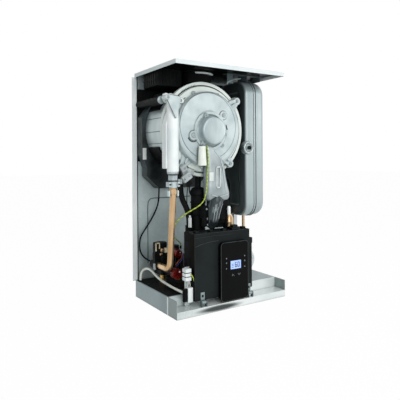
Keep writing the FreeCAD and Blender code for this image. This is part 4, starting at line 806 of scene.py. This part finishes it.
# %% Body, plate and gusset
MANIFOLD = np.array([26.0, 64.0])
SUPPORT = (0, 602)
body = [(0.3, 395), (16, 395), (17, 396.4), (17, 599), (15.5, 602.5), (12, 606), (8.5, 608), (0.3, 608)]
web = [(8, 408, 4), (8, 500, 4), (9, 526, 4.5), (17, 553, 4.5), (30, 580, 4), (40, 596, 4), (40, 408, 4)]
join("manifold_body", [
    turned("z", MANIFOLD, body, 48),
    slab("y", web, edged(64, 88, 1.5), 96),
    turned("y", TOP_EAR, [(0.3, 88), (9, 88), (9, 79), (8, 78), (0.3, 78)], 32),
    *bricks((16.9, 34.9, 583, 605.5, 64, 82, 2, 1.0)),
], WHITE, replaced="water_manifold")
join("manifold_plate", [
    slab("y", [(*TOP_EAR, 12), (62, 598, 7)], edged(70, 78, 1.2)),
    slab("y", [(*TOP_EAR, 10), (12, 612, 6)], edged(74, 88, 1.2)),
    turned("y", TOP_EAR, [(9.5, 71), (9.5, 66), (8, 64.5), (0.3, 64.5)], 32),
], WHITE)
join("top_gusset", [
    slab("y", [(2, 603, 7), (37, 602, 5), (26, 548, 3)], edged(43.4, 47.4, 0.8)),
    turned("y", SUPPORT, [(7.5, 66), (7.5, 43), (6.5, 41.6), (4.6, 41.6), (4.0, 43), (0.3, 43)], 32),
], CASTING)
# Dark strokes along the edges of the gusset and the plate are painted shade.
join("gusset_shade_lines", [
    stroke(43.5, [(-3, 597), (6, 578), (16, 560), (24, 546)], 1.6, 0.6),
    stroke(43.5, [(8, 609.6), (22, 608.6), (38, 606.6)], 1.2, 0.6),
    stroke(82.1, [(58, 598), (60.5, 585)], 2.4, 0.7),
    stroke(82.1, [(69, 602), (79, 610)], 2.4, 0.7),
], MOTOR)

# %% [markdown]
# ## Union and clamp
# A hexagon nut closes the manifold below, over a split clamp. The hexagon is the hull of six small
# circles, which rounds its corners as on a real nut.

# %% Nut, clamp and bolts
hexagon = [(*(MANIFOLD + 13.4 * heading(angle)), 1.2) for angle in range(0, 360, 60)]
join("union_nut", [slab("z", hexagon, edged(371, 386, 1.0)),
                   turned("z", MANIFOLD, [(15, 389), (16.5, 391), (16.5, 396), (14, 398)])], ZINC)
join("manifold_screws", screws((*SUPPORT, 3.6, 43, 40.4), (57, 599, 4, 70, 67)), ZINC)
plates = [(low, low + 7.7, 354, 366, 56.6, 54.4, 1, 0.5) for low in (8.2, 36.1)]
plates += [(low, low + 5.5, 326, 343, 58, 68, 1.2, 0.8) for low in (9.5, 37)]
join("clamp_plates", bricks(*plates), GALVANISED)
join("clamp_bolts", screws((12, 360, 3.0, 54.8, 51.6), (40, 360, 3.0, 54.8, 51.6)) +
     [bead("z", MANIFOLD, 13.2, level, 1.5) for level in (387.6, 369.2)], MOTOR)

# %% [markdown]
# ## Drum and rear collector
# Straps of the black collector reach over the stainless drum, and three weld seams run along it. A strap
# is a strip along an arc, whose normal points out from the drum's axis.

# %% Straps, seams and the collector's blank label
DRUM_RADIUS = 128.0
COLLECTOR_FRONT = 223


def arc(axis, first, last, count):
    """Unit directions round an axis, evenly from the first to the last angle in degrees."""
    angle = np.radians(np.linspace(first, last, count))
    way = np.zeros((count, 3))
    way[:, AXES[axis][:2]] = np.stack([np.cos(angle), np.sin(angle)], axis=1)
    return way


straps = []
for first, last, width in ((116, 153, 68), (204, 244, 70)):
    way = arc("y", first, last, 16)
    path = np.array([DRUM[0], COLLECTOR_FRONT - width / 2, DRUM[1]]) + (DRUM_RADIUS - 0.5) * way
    straps.append(strip(path, width, 4.5, way))
join("collector_straps", straps, BLACK)
seams = []
for height in (553, 513, 478):
    edge = DRUM[0] - math.sqrt(DRUM_RADIUS ** 2 - (height - DRUM[1]) ** 2)
    path = [(edge, depth, height) for depth in (103, 150, 222)]
    seams.append(strip(path, 1.8, 0.6, (edge - DRUM[0], 0, height - DRUM[1])))
join("drum_seams", seams, PRESSED_LINE)
join("collector_label", bricks((9.5, 22, 430, 466, 222.4, 223.3, 1.2, 0.3)), LABEL)
tube_end = [(11.4, 113), (11.8, 110), (11.8, 105.5), (9.5, 103.6), (0.3, 103.2)]
join("support_cap", [turned("y", (14.5, 602), tube_end)], ZINC)

# %% [markdown]
# ## Under the lid
# A bright strip along the flue's rim under the lid is a painted highlight, and a bent hook on the brace
# keeps the vessel from swinging. The air silencer is moulded with upright ribs. The bent sheet is a strip
# along a path, and a rib is a brick, because only their edges show.

# %% Painted highlight, hook and ribs
bow = arc("z", 238, 316, 20)
join("flue_rim_highlight", [strip((160, 156, 692.8) + 50 * bow, 4.4, 7.0, bow)], PAINTED_LIGHT_WHITE)
hook = [(236, 664), (240, 671), (250, 676), (268, 681), (290, 686)]
join("brace_hook", [stroke(91.6, hook, 4.0, 1.6)], PAN_SHEET)
ribs = bricks(*[(low, low + 4, 652, 694, 128.4, 130.6, 1, 0.5) for low in range(18, 92, 12)])
ribs += bricks(*[(low, low + 4, 652, 694, 10.4, 12.6, 1, 0.5) for low in range(138, 220, 14)], axis="x")
ribs += bricks((10.8, 97.2, 128.8, 225, 668, 671, 3, 0.6), axis="z")
join("silencer_ribs", ribs, BLACK)

# %% [markdown]
# ## Expansion vessel
# Two pressed pans are welded rim to rim. A pan is one rounded outline drawn at several depths: a flat
# floor, a shallow step, a soft shoulder and a straight wall. Cosine and sine of one angle give the
# shoulder its quarter round.

# %% Two pressed pans, their rim and the valve's dimple
OUTLINE = corners(82, 247, 246, 682, 45)
MIDDLE, INNER_FACE, OUTER_FACE = 343.5, 302.0, 385.0
VALVE = (311, 466)
bend = np.radians(np.linspace(0, 90, 9))


def pan(face, deep, wide):
    """Depth and inset of a pan: floor, step of 4 mm, then a quarter round deep by wide mm, then the wall."""
    way = math.copysign(1.0, face - MIDDLE)
    step = [(face - drop * way, inset) for drop, inset in ((4, 44.9), (4, 40), (3, 37), (0.6, 34), (0, 30))]
    shoulder = np.stack([face - deep * way * (1 - np.cos(bend)), wide * (1 - np.sin(bend))], axis=1)
    return np.concatenate([step, shoulder, [(MIDDLE + way, 0)]])


for side, face, deep, wide in (("inner", INNER_FACE, 11, 10), ("outer", OUTER_FACE, 24, 22)):
    half = slab("x", OUTLINE, pan(face, deep, wide), 96)
    join("vessel_pan_" + side, [half], VESSEL, replaced="vessel_%s_shell" % side)
rim = [(334, 0.6), (334.8, -1.6), (337, -2.4), (339.4, -1.6), (340.4, 0.8), (342.6, 0.8), (343.6, -1.8),
       (346, -2.8), (348.4, -1.8), (349.2, 0.6), (349.2, 2), (334, 2), (334, 0.6)]
join("vessel_rim", [slab("x", OUTLINE, rim, 96)], VESSEL)
dimple = [(22, 92), (21, 81), (19.5, 77.6), (16, 76.8), (12.5, 79.5), (9, 85), (0.3, 85)]
join("vessel_dimple", [turned("y", VALVE, dimple, 44)], VESSEL)
join("vessel_valve_ring", [bead("y", VALVE, 17.2, 77.2, 1.5)], PUMP_CAN)

# %% [markdown]
# ## Mixing duct
# The cast duct narrows upwards from the gas valve to the fan. A superellipse, x and y as signed powers of
# cosine and sine, gives the soft box section of a casting, drawn level by level.

# %% Lofted duct with its blank labels
LEVELS = np.array([
    (306, 150, 206, 56, 80), (309, 142, 212, 51, 82), (316, 138, 215.5, 48, 82),
    *[(height, 136.5, right, front, 82) for height, right, front in (
        (330, 215, 46.6), (352, 208, 46.8), (380, 202, 47.6), (405, 199, 48.4), (420, 196, 49),
        (434, 188, 50), (446, 176, 51), (456, 165, 52))],
    (466, 137, 156, 53.5, 82), (472, 139, 150, 57, 80),
], float)


def loft(levels, power=0.42, count=64):
    """Superellipse rings, one for each (height, low x, high x, low y, high y)."""
    angle = np.linspace(0, 2 * np.pi, count, endpoint=False)
    wide = np.sign(np.cos(angle)) * np.abs(np.cos(angle)) ** power
    deep = np.sign(np.sin(angle)) * np.abs(np.sin(angle)) ** power
    z, x0, x1, y0, y1 = levels.T[:, :, None]
    return at((x0 + x1) / 2 + wide * (x1 - x0) / 2, (y0 + y1) / 2 + deep * (y1 - y0) / 2, z)


join("duct_loft", [loft(LEVELS)], DUCT_CASTING, replaced="mixing_duct")
join("duct_labels", bricks(
    (138, 153.5, 366, 392, 47.4, 46.2, 1.5, 0.3),
    (163, 166, 345, 408, 46.9, 46.0, 1.2, 0.3),
    (176, 179, 345, 408, 46.9, 46.0, 1.2, 0.3),
    (163, 179, 405, 408.5, 47.6, 46.0, 1.2, 0.3),
    (163, 179, 345, 348.5, 46.9, 46.0, 1.2, 0.3),
), LABEL)
side_rib = [(198, 47.4, 330), (192, 48, 372), (188, 48.8, 405), (180, 50.6, 434), (160, 52.6, 456)]
foot_rib = [(146, 46.9, 326), (172, 46.6, 318), (206, 46.9, 326)]
join("duct_ribs", [strip(side_rib, 2.6, 1.4), strip(foot_rib, 2.6, 1.2)], CASTING)

# %% [markdown]
# ## Elbow
# Below the duct a smoked elbow leads to the gas valve: a round section carried along a bend, thinner
# below, with pale ribs that stand for the reflections inside it.

# %% Elbow and its painted reflections


def tube(path, radius, reference=(1.0, 0.0, 0.0), count=20):
    """A round section carried along a path, one radius for each point."""
    path = np.array(path, float)
    run = headings(path)
    side = np.cross(run, np.array(reference))
    side /= np.linalg.norm(side, axis=1, keepdims=True)
    rise = np.cross(side, run)
    angle = np.linspace(0, 2 * np.pi, count, endpoint=False)[None, :, None]
    reach = np.broadcast_to(np.asarray(radius, float), len(path))[:, None, None]
    rings = path[:, None] + reach * (np.cos(angle) * side[:, None] + np.sin(angle) * rise[:, None])
    return at(*np.moveaxis(rings, -1, 0))


bend_path = np.array([(173, 64, 308), (166, 57, 298), (159, 51.5, 285), (155, 48.5, 271), (153, 48, 258),
                      (152.5, 51, 247), (152, 56, 239), (150, 62, 232)])
bend_radius = np.array([22, 24, 22, 19.5, 17.5, 16, 15, 14])
join("valve_elbow", [tube(bend_path, bend_radius, (0.0, 1.0, 0.0), 32), bead("z", (174, 64), 22.5, 307, 2.5)],
     SMOKED)
streaks = []
for angle in np.radians((-32, -8, 26)):
    reach = (bend_radius[1:6, None] - 0.6) * np.array([math.sin(angle), -math.cos(angle), 0.0])
    streaks.append(strip(bend_path[1:6] + reach, 1.6, 1.2))
join("elbow_reflections", streaks, GREY)

# %% [markdown]
# ## Gas valve
# The valve's black body carries a plug and screws, and a copper tap with a white sleeve stands before it.
# The tap was made on a lathe, so it is a profile spun about its axis; the plug is moulded, so it is bricks.

# %% Plug, tap and screws
TAP = (199, 34)
join("valve_plug", bricks(
    (198, 217, 222, 290, 50, 64, 2, 1.2),
    (126, 148, 232, 262, 56, 72, 2, 1.2),
    (160, 206, 226, 246, 58, 86, 3, 1.5),
), BLACK)
tap = [(0.3, 231), (4.8, 232), (4.8, 242), (5.4, 243), (5.4, 247), (4.8, 248), (4.8, 266), (0.3, 267)]
join("gas_tap", [turned("z", TAP, tap, 24), *bricks((195.5, 202.5, 252, 262, 34, 41, 2, 0.6))], COPPER)
sleeve = [(0.3, 265), (5.0, 266), (5.0, 288), (3.4, 291), (0.3, 291.5)]
join("gas_tap_sleeve", [turned("z", TAP, sleeve, 24), *bricks((196, 202, 276, 284, 34, 41, 2, 0.6))], WHITE)
join("valve_screws", screws((207, 282, 3.2, 50, 47.5), (207, 230, 3.2, 50, 47.5), (137, 256, 3.4, 56, 53),
                            (137, 238, 3.0, 56, 53), (134, 284, 3.0, 56, 53.4)), ZINC)

# %% [markdown]
# ## Condensate trap
# The condensate trap is a black cup with a domed lid, two ribs and a round inspection cap held by screws.
# The cup is moulded round, so lid and ribs are profiles spun about the same axis.

# %% Trap lid, ribs and cap
TRAP = (140, 112)
dome = [(0.5, 347), (10, 346.5), (18, 343), (23, 336), (24.5, 328), (24.5, 322), (22, 320)]
join("trap_rings", [
    turned("z", TRAP, dome, 44),
    turned("z", TRAP, [(22, 262), (24, 264), (24, 278), (22, 280)], 44),
    turned("z", TRAP, [(22, 296), (23.6, 298), (23.6, 302), (22, 304)], 44),
    turned("y", (138, 268), [(13, 91), (13, 86.5), (11, 85), (0.3, 85)], 32),
], BLACK)
join("trap_screws", screws((138, 275, 3.4, 85, 81.5), (133, 260, 3.4, 85, 81.5)), ZINC)

# %% [markdown]
# ## Sensors and their leads
# Grey sensors sit at a slant below the manifold, with black plugs and two short leads. A slanted block is
# a slab whose corner circles are turned about its middle.

# %% Slanted sensors, plugs and leads


def slanted(middle, half, angle, radius, depths):
    """A block with half sizes, turned about its middle: corners at middle + a half wide + b half high."""
    wide, high = heading(angle), heading(angle + 90)
    spots = [(*(middle + a * half[0] * wide + b * half[1] * high), radius) for a in (-1, 1) for b in (-1, 1)]
    return slab("y", spots, edged(*depths))


join("sensor_blocks", [
    slanted((60, 404), (8, 7), 28, 2, (58, 74, 1.0)),
    slanted((68, 379), (13, 8), 34, 2.5, (54, 66, 1.2)),
    slanted((90, 395), (9, 5), -24, 2, (70, 84, 1.0)),
], GREY)
join("sensor_screws", screws((62, 405, 3.0, 58, 55), (75, 384, 3.2, 54, 51), (60, 374, 3.0, 54, 51)), ZINC)
join("sensor_plugs", [slanted((78, 362), (7, 6), 34, 1.5, (58, 70, 1.0)),
                      slanted((47, 386), (5, 9), 20, 1.5, (60, 72, 1.0))], BLACK)
test_plug = ((98.5, 105.5, 228, 257, 93, 102, 1, 0.6), (99.8, 104.2, 257, 264, 95, 100, 1, 0.6))
join("test_plug", bricks(*test_plug), WHITE)
TRAP_LEAD = [(80, 64, 356), (82, 68, 346), (88, 76, 334), (98, 86, 326), (110, 96, 324), (120, 104, 325)]
TEST_LEAD = [(78, 66, 358), (77, 72, 336), (82, 82, 305), (92, 92, 284), (100, 97, 274), (102, 98, 264)]
cord("lead_trap", TRAP_LEAD, 1.6, RUBBER)
cord("lead_test", TEST_LEAD, 1.4, RUBBER)

# %% [markdown]
# ## Diverter drive
# The drive sits on the black composite block. It is seen through a gap between pipes, so each of its
# parts is one or two simple forms of the right colour.

# %% Drive
join("drive_cap", bricks(
    (16.5, 19.5, 157, 182, 152, 156, 1, 0.6),
    (16.5, 31, 179, 182, 152, 156, 1, 0.6),
    (28, 31, 163, 182, 152, 156, 1, 0.6),
    (46, 55, 150, 164, 150, 162, 2, 1),
), CREAM)
lid = [(17.6, 166), (18, 167), (18, 177), (16, 179.4), (0.4, 180)]
join("drive_lid", [turned("z", (46, 175), lid, 44)], BLACK)
join("drive_coil", [turned("y", (38.5, 158), [(5.5, 162), (5.5, 153), (4.4, 151.6), (0.3, 151.2)], 28),
                    *bricks((30, 38, 144, 151, 150, 160, 1.5, 0.8))], COPPER)
join("drive_tab", bricks((11, 16, 104, 121, 150, 160, 1.5, 0.8)), GREY)
join("drive_bridge", bricks((15, 36, 104, 153, 156, 172, 3, 1), (16, 33, 150, 182.4, 155, 172, 2, 1)), BLACK)

# %% [markdown]
# ## Vent, plug and wires
# A red vent with two painted glints stands beside the drive, and an orange and a blue wire leave a white
# plug. Wires are cords like the hoses, only thinner, and the vent is turned.

# %% Vent, plug and wires
vent = [(12, 156), (12.5, 148), (12.5, 142), (10.5, 139.4), (6, 138.6), (5, 139.6), (0.3, 139.8)]
join("vent_cap", [turned("y", (88, 144), vent, 36), slab("z", [(92, 166, 10.6)], edged(150, 157, 1))], RED)
join("vent_glints", [turned("y", (92, 148), [(2.2, 139.4), (1.8, 138), (0.2, 137.8)], 16),
                     turned("y", (60, 130), [(4, 150.5), (4, 146), (3, 145), (0.3, 145)], 20)], LABEL)
join("block_plugs", bricks((99, 105.5, 140, 156, 141, 151, 1, 0.6)), WHITE)
# The flow block's ribs are painted paler: painted highlights.
block_ribs = [(low, low + 3, 88, 138, 148.4, 150.6, 0.8, 0.4) for low in (70, 80, 90, 100)]
join("block_ribs", bricks(*block_ribs), RIDGE_HIGHLIGHT)
ORANGE_ROUTE = [(103, 142, 147), (101.5, 141.5, 136), (95, 142, 127), (86, 145, 118), (79, 147, 109)]
BLUE_ROUTE = [(105, 142, 144), (104.5, 141.5, 132), (98.5, 142, 122), (89.5, 145, 113), (82, 147, 104)]
cord("wire_orange", ORANGE_ROUTE, 1.3, ORANGE_WIRE)
cord("wire_blue", BLUE_ROUTE, 1.3, BLUE_WIRE)

# %% [markdown]
# ## Terminals
# The mains terminals are three white blocks; black bricks between them are painted shade in the gaps. Two
# thin cores run from them to the plug below, and the end of the earth core shows beside them. They are too
# short to hang, so a round section along a few points is enough for each.

# %% Gaps, cores and earth
gaps = [(39.6, 58.4, 19.5, 38.4, level - 1.1, level + 1.1, 0.6, 0.3) for level in (105, 116)]
join("terminal_gap_shade", bricks(*gaps, axis="z"), BLACK)
join("terminal_links", [tube([(50, 29, 73), (50.8, 28, 80), (52, 27, 87), (53, 27, 95)], 1.2),
                        tube([(60, 29, 73), (59, 28, 80), (57, 27, 88), (54.5, 27, 95)], 1.2)], SHEATH)
join("earth_tip", [tube([(56, 19.6, 112), (60, 18.6, 107), (64, 18.4, 100), (66, 19, 92)], 1.6)], EARTH)

# %% [markdown]
# ## Safety knob
# A white dot on the relief knob is a painted highlight; it sits off the axis and rides with the knob.
# Round bars along the rim are the grip: one turned bar, set twelve times round the axis.

# %% Painted highlight and grip
KNOB = (50.0, 100.0)
dot = [(2.8, 82.6), (2.8, 81.8), (2.1, 81.4), (0.1, 81.4)]
join("knob_highlight", [turned("y", (57, 106), dot, 20)], LABEL, "valve_knob")
bar = [(0.4, 83.2), (1.6, 84), (1.6, 97), (0.4, 98)]
grips = [turned("y", KNOB + 13.8 * heading(angle), bar, 12) for angle in range(0, 360, 30)]
join("knob_grip", grips, RED, "valve_knob")

# %% [markdown]
# ## Control box
# The box swings down on its straps, so all of this rides with it: a hinge rail on its right, ridges where
# the mould parts, and clips that hold the lid along the top. The shell is a good solid as it is, so bricks
# and strokes are only added to it.

# %% Rail, ridges and clips
join("box_rail", bricks(
    (260.5, 271, 48, 190, 16, 38, 1.5, 0.8),
    (262, 275, 176, 194, 18, 36, 3, 1.0),
    (262, 273, 44, 58, 18, 36, 3, 1.0),
), BOX, "control_box")
# The ridges are painted paler than the shell: painted highlights.
join("box_ridges", [
    stroke(13.1, [(66, 186), (84, 191), (104, 194.5), (126, 196.5), (146, 197)], 1.4, 0.8),
    stroke(13.1, [(65.6, 40), (65.6, 120), (65.6, 220)], 1.0, 0.5),
    stroke(13.1, [(66, 221), (160, 221), (260, 221)], 1.0, 0.5),
    stroke(13.1, [(66, 210), (130, 212), (196, 212)], 0.8, 0.4),
], RIDGE_HIGHLIGHT, "control_box")
clips = bricks(*[(low, low + 12, 214, 228, 22, 36, 1.5, 0.8) for low in (74, 122, 168, 240)])
clips += bricks((196, 222, 222, 229, 15, 40, 1.5, 0.8))
clips += bricks((46, 64, 196, 226, 64.6, 68, 2, 0.6), (44, 66, 120, 150, 62.4, 66, 2, 0.6), axis="x")
join("box_clips", clips, BOX, "control_box")

# %% [markdown]
# ## Display rim
# The display is a glossy slab with a paler rim that is a painted highlight, and its screen has a black
# bezel. Both are strips along a rounded rectangle, four quarter circles one after the other.

# %% Rim and bezel


def rounded_path(low, high, base, top, radius, depth):
    """The closed outline of a rounded rectangle at one depth: four quarter circles, one after the other."""
    middles = ((high - radius, top - radius), (low + radius, top - radius),
               (low + radius, base + radius), (high - radius, base + radius))
    arcs = [(x, depth, z) + radius * arc("y", 90 * turn, 90 * turn + 90, 7)
            for turn, (x, z) in enumerate(middles)]
    return np.concatenate(arcs + [arcs[0][:1]])


rim_path = rounded_path(146.4, 243.6, 23.4, 190.6, 10, 1.4)
join("display_rim", [strip(rim_path, 1.6, 0.9)], RIDGE_HIGHLIGHT, "control_box")
bezel_path = rounded_path(178.6, 218.4, 110.6, 137.4, 2.5, 1.2)
join("screen_bezel", [strip(bezel_path, 1.6, 0.5)], BLACK, "control_box")

# %% [markdown]
# ## Digits and touch marks
# The screen shows a flow temperature in seven-segment digits, each segment a strip. The touch fields are
# small printed marks, and the place below them stays bare.

# %% Digits and marks
PLACES = {"a": ((0, 2), (1, 2)), "b": ((1, 1), (1, 2)), "c": ((1, 0), (1, 1)), "d": ((0, 0), (1, 0)),
          "e": ((0, 0), (0, 1)), "f": ((0, 1), (0, 2)), "g": ((0, 1), (1, 1))}
DIGIT_WIDE, DIGIT_STEP, DIGIT_BASE = 5.6, 6.4, 117.5
segments = []
for left, lit in ((196, "acdefg"), (205.5, "abcdef")):
    for letter in lit:
        path = [(left + DIGIT_WIDE * a, DIGIT_BASE + DIGIT_STEP * b) for a, b in PLACES[letter]]
        segments.append(stroke(1.1, path, 1.7, 0.5))
segments += [stroke(1.1, [(184, level), (190, level)], 1.4, 0.5) for level in (117.5, 122, 126.5)]
join("screen_digits", segments, DIGIT, "control_box")
touch = [(2.1, 1.2), (2.1, 0.8), (1.7, 0.6), (0.1, 0.6)]
spots = ((165, 145), (165, 132), (165, 116), (231, 146), (231, 132), (231, 115))
marks = [turned("y", place, touch, 16) for place in spots]
marks += [stroke(1.2, [(x - 4, 95 - rise), (x, 95 + rise), (x + 4, 95 - rise)], 1.4, 0.6)
          for x, rise in ((188, 3), (210, -3))]
join("display_marks", marks, MARK, "control_box")

# %% [markdown]
# ## Pan and back panel
# Dark rubber on the left of the pan's floor and dark felt on the back behind the drum are painted shade.
# The wings have a painted-light white face and a painted-shade dark gap beside them. A pressed groove
# stiffens the panel. Each is a thin brick or stroke that lies on its sheet, so the sheets stay whole.

# %% Painted shade, painted light and the pressed groove
join("pan_floor_shade", bricks((3, 258, 53, 256, 50.9, 52.2, 3, 0.4), axis="z"), RUBBER)
shade_sheets = ((8, 382, 424, 652, 256.6, 259.1, 6, 0.6), (34, 382, 610, 690, 256.9, 259.1, 6, 0.6))
join("back_shade_sheet", bricks(*shade_sheets), RUBBER)
faces = [(low, low + 15, 53, 687, 256.2, 257.4, 1, 0.3) for low in (-9.5, 384.5)]
join("wing_painted_light", bricks(*faces), PAINTED_LIGHT_WHITE)
# The white strip is painted light: the light seen through the slit by the cheek.
join("cheek_slit_light", bricks((48.4, 54.5, 0.6, 49.6, -0.4, 0.6, 0.5, 0.2), axis="x"), PAINTED_LIGHT_WHITE)
join("wing_gap_shade", bricks(*[(low, low + 2.6, 54, 690, 256.6, 258.2, 0.6, 0.3) for low in (6.2, 381.2)]), BLACK)
groove = [(43, 100), (43, 200), (43, 282), (45, 296), (52, 304), (66, 306), (130, 306), (201, 306)]
join("panel_groove", [stroke(259.1, groove, 3.0, 0.9)], PRESSED_LINE)

# %% [markdown]
# ## Sizes
# The dressed boiler must be as large as the imported one.
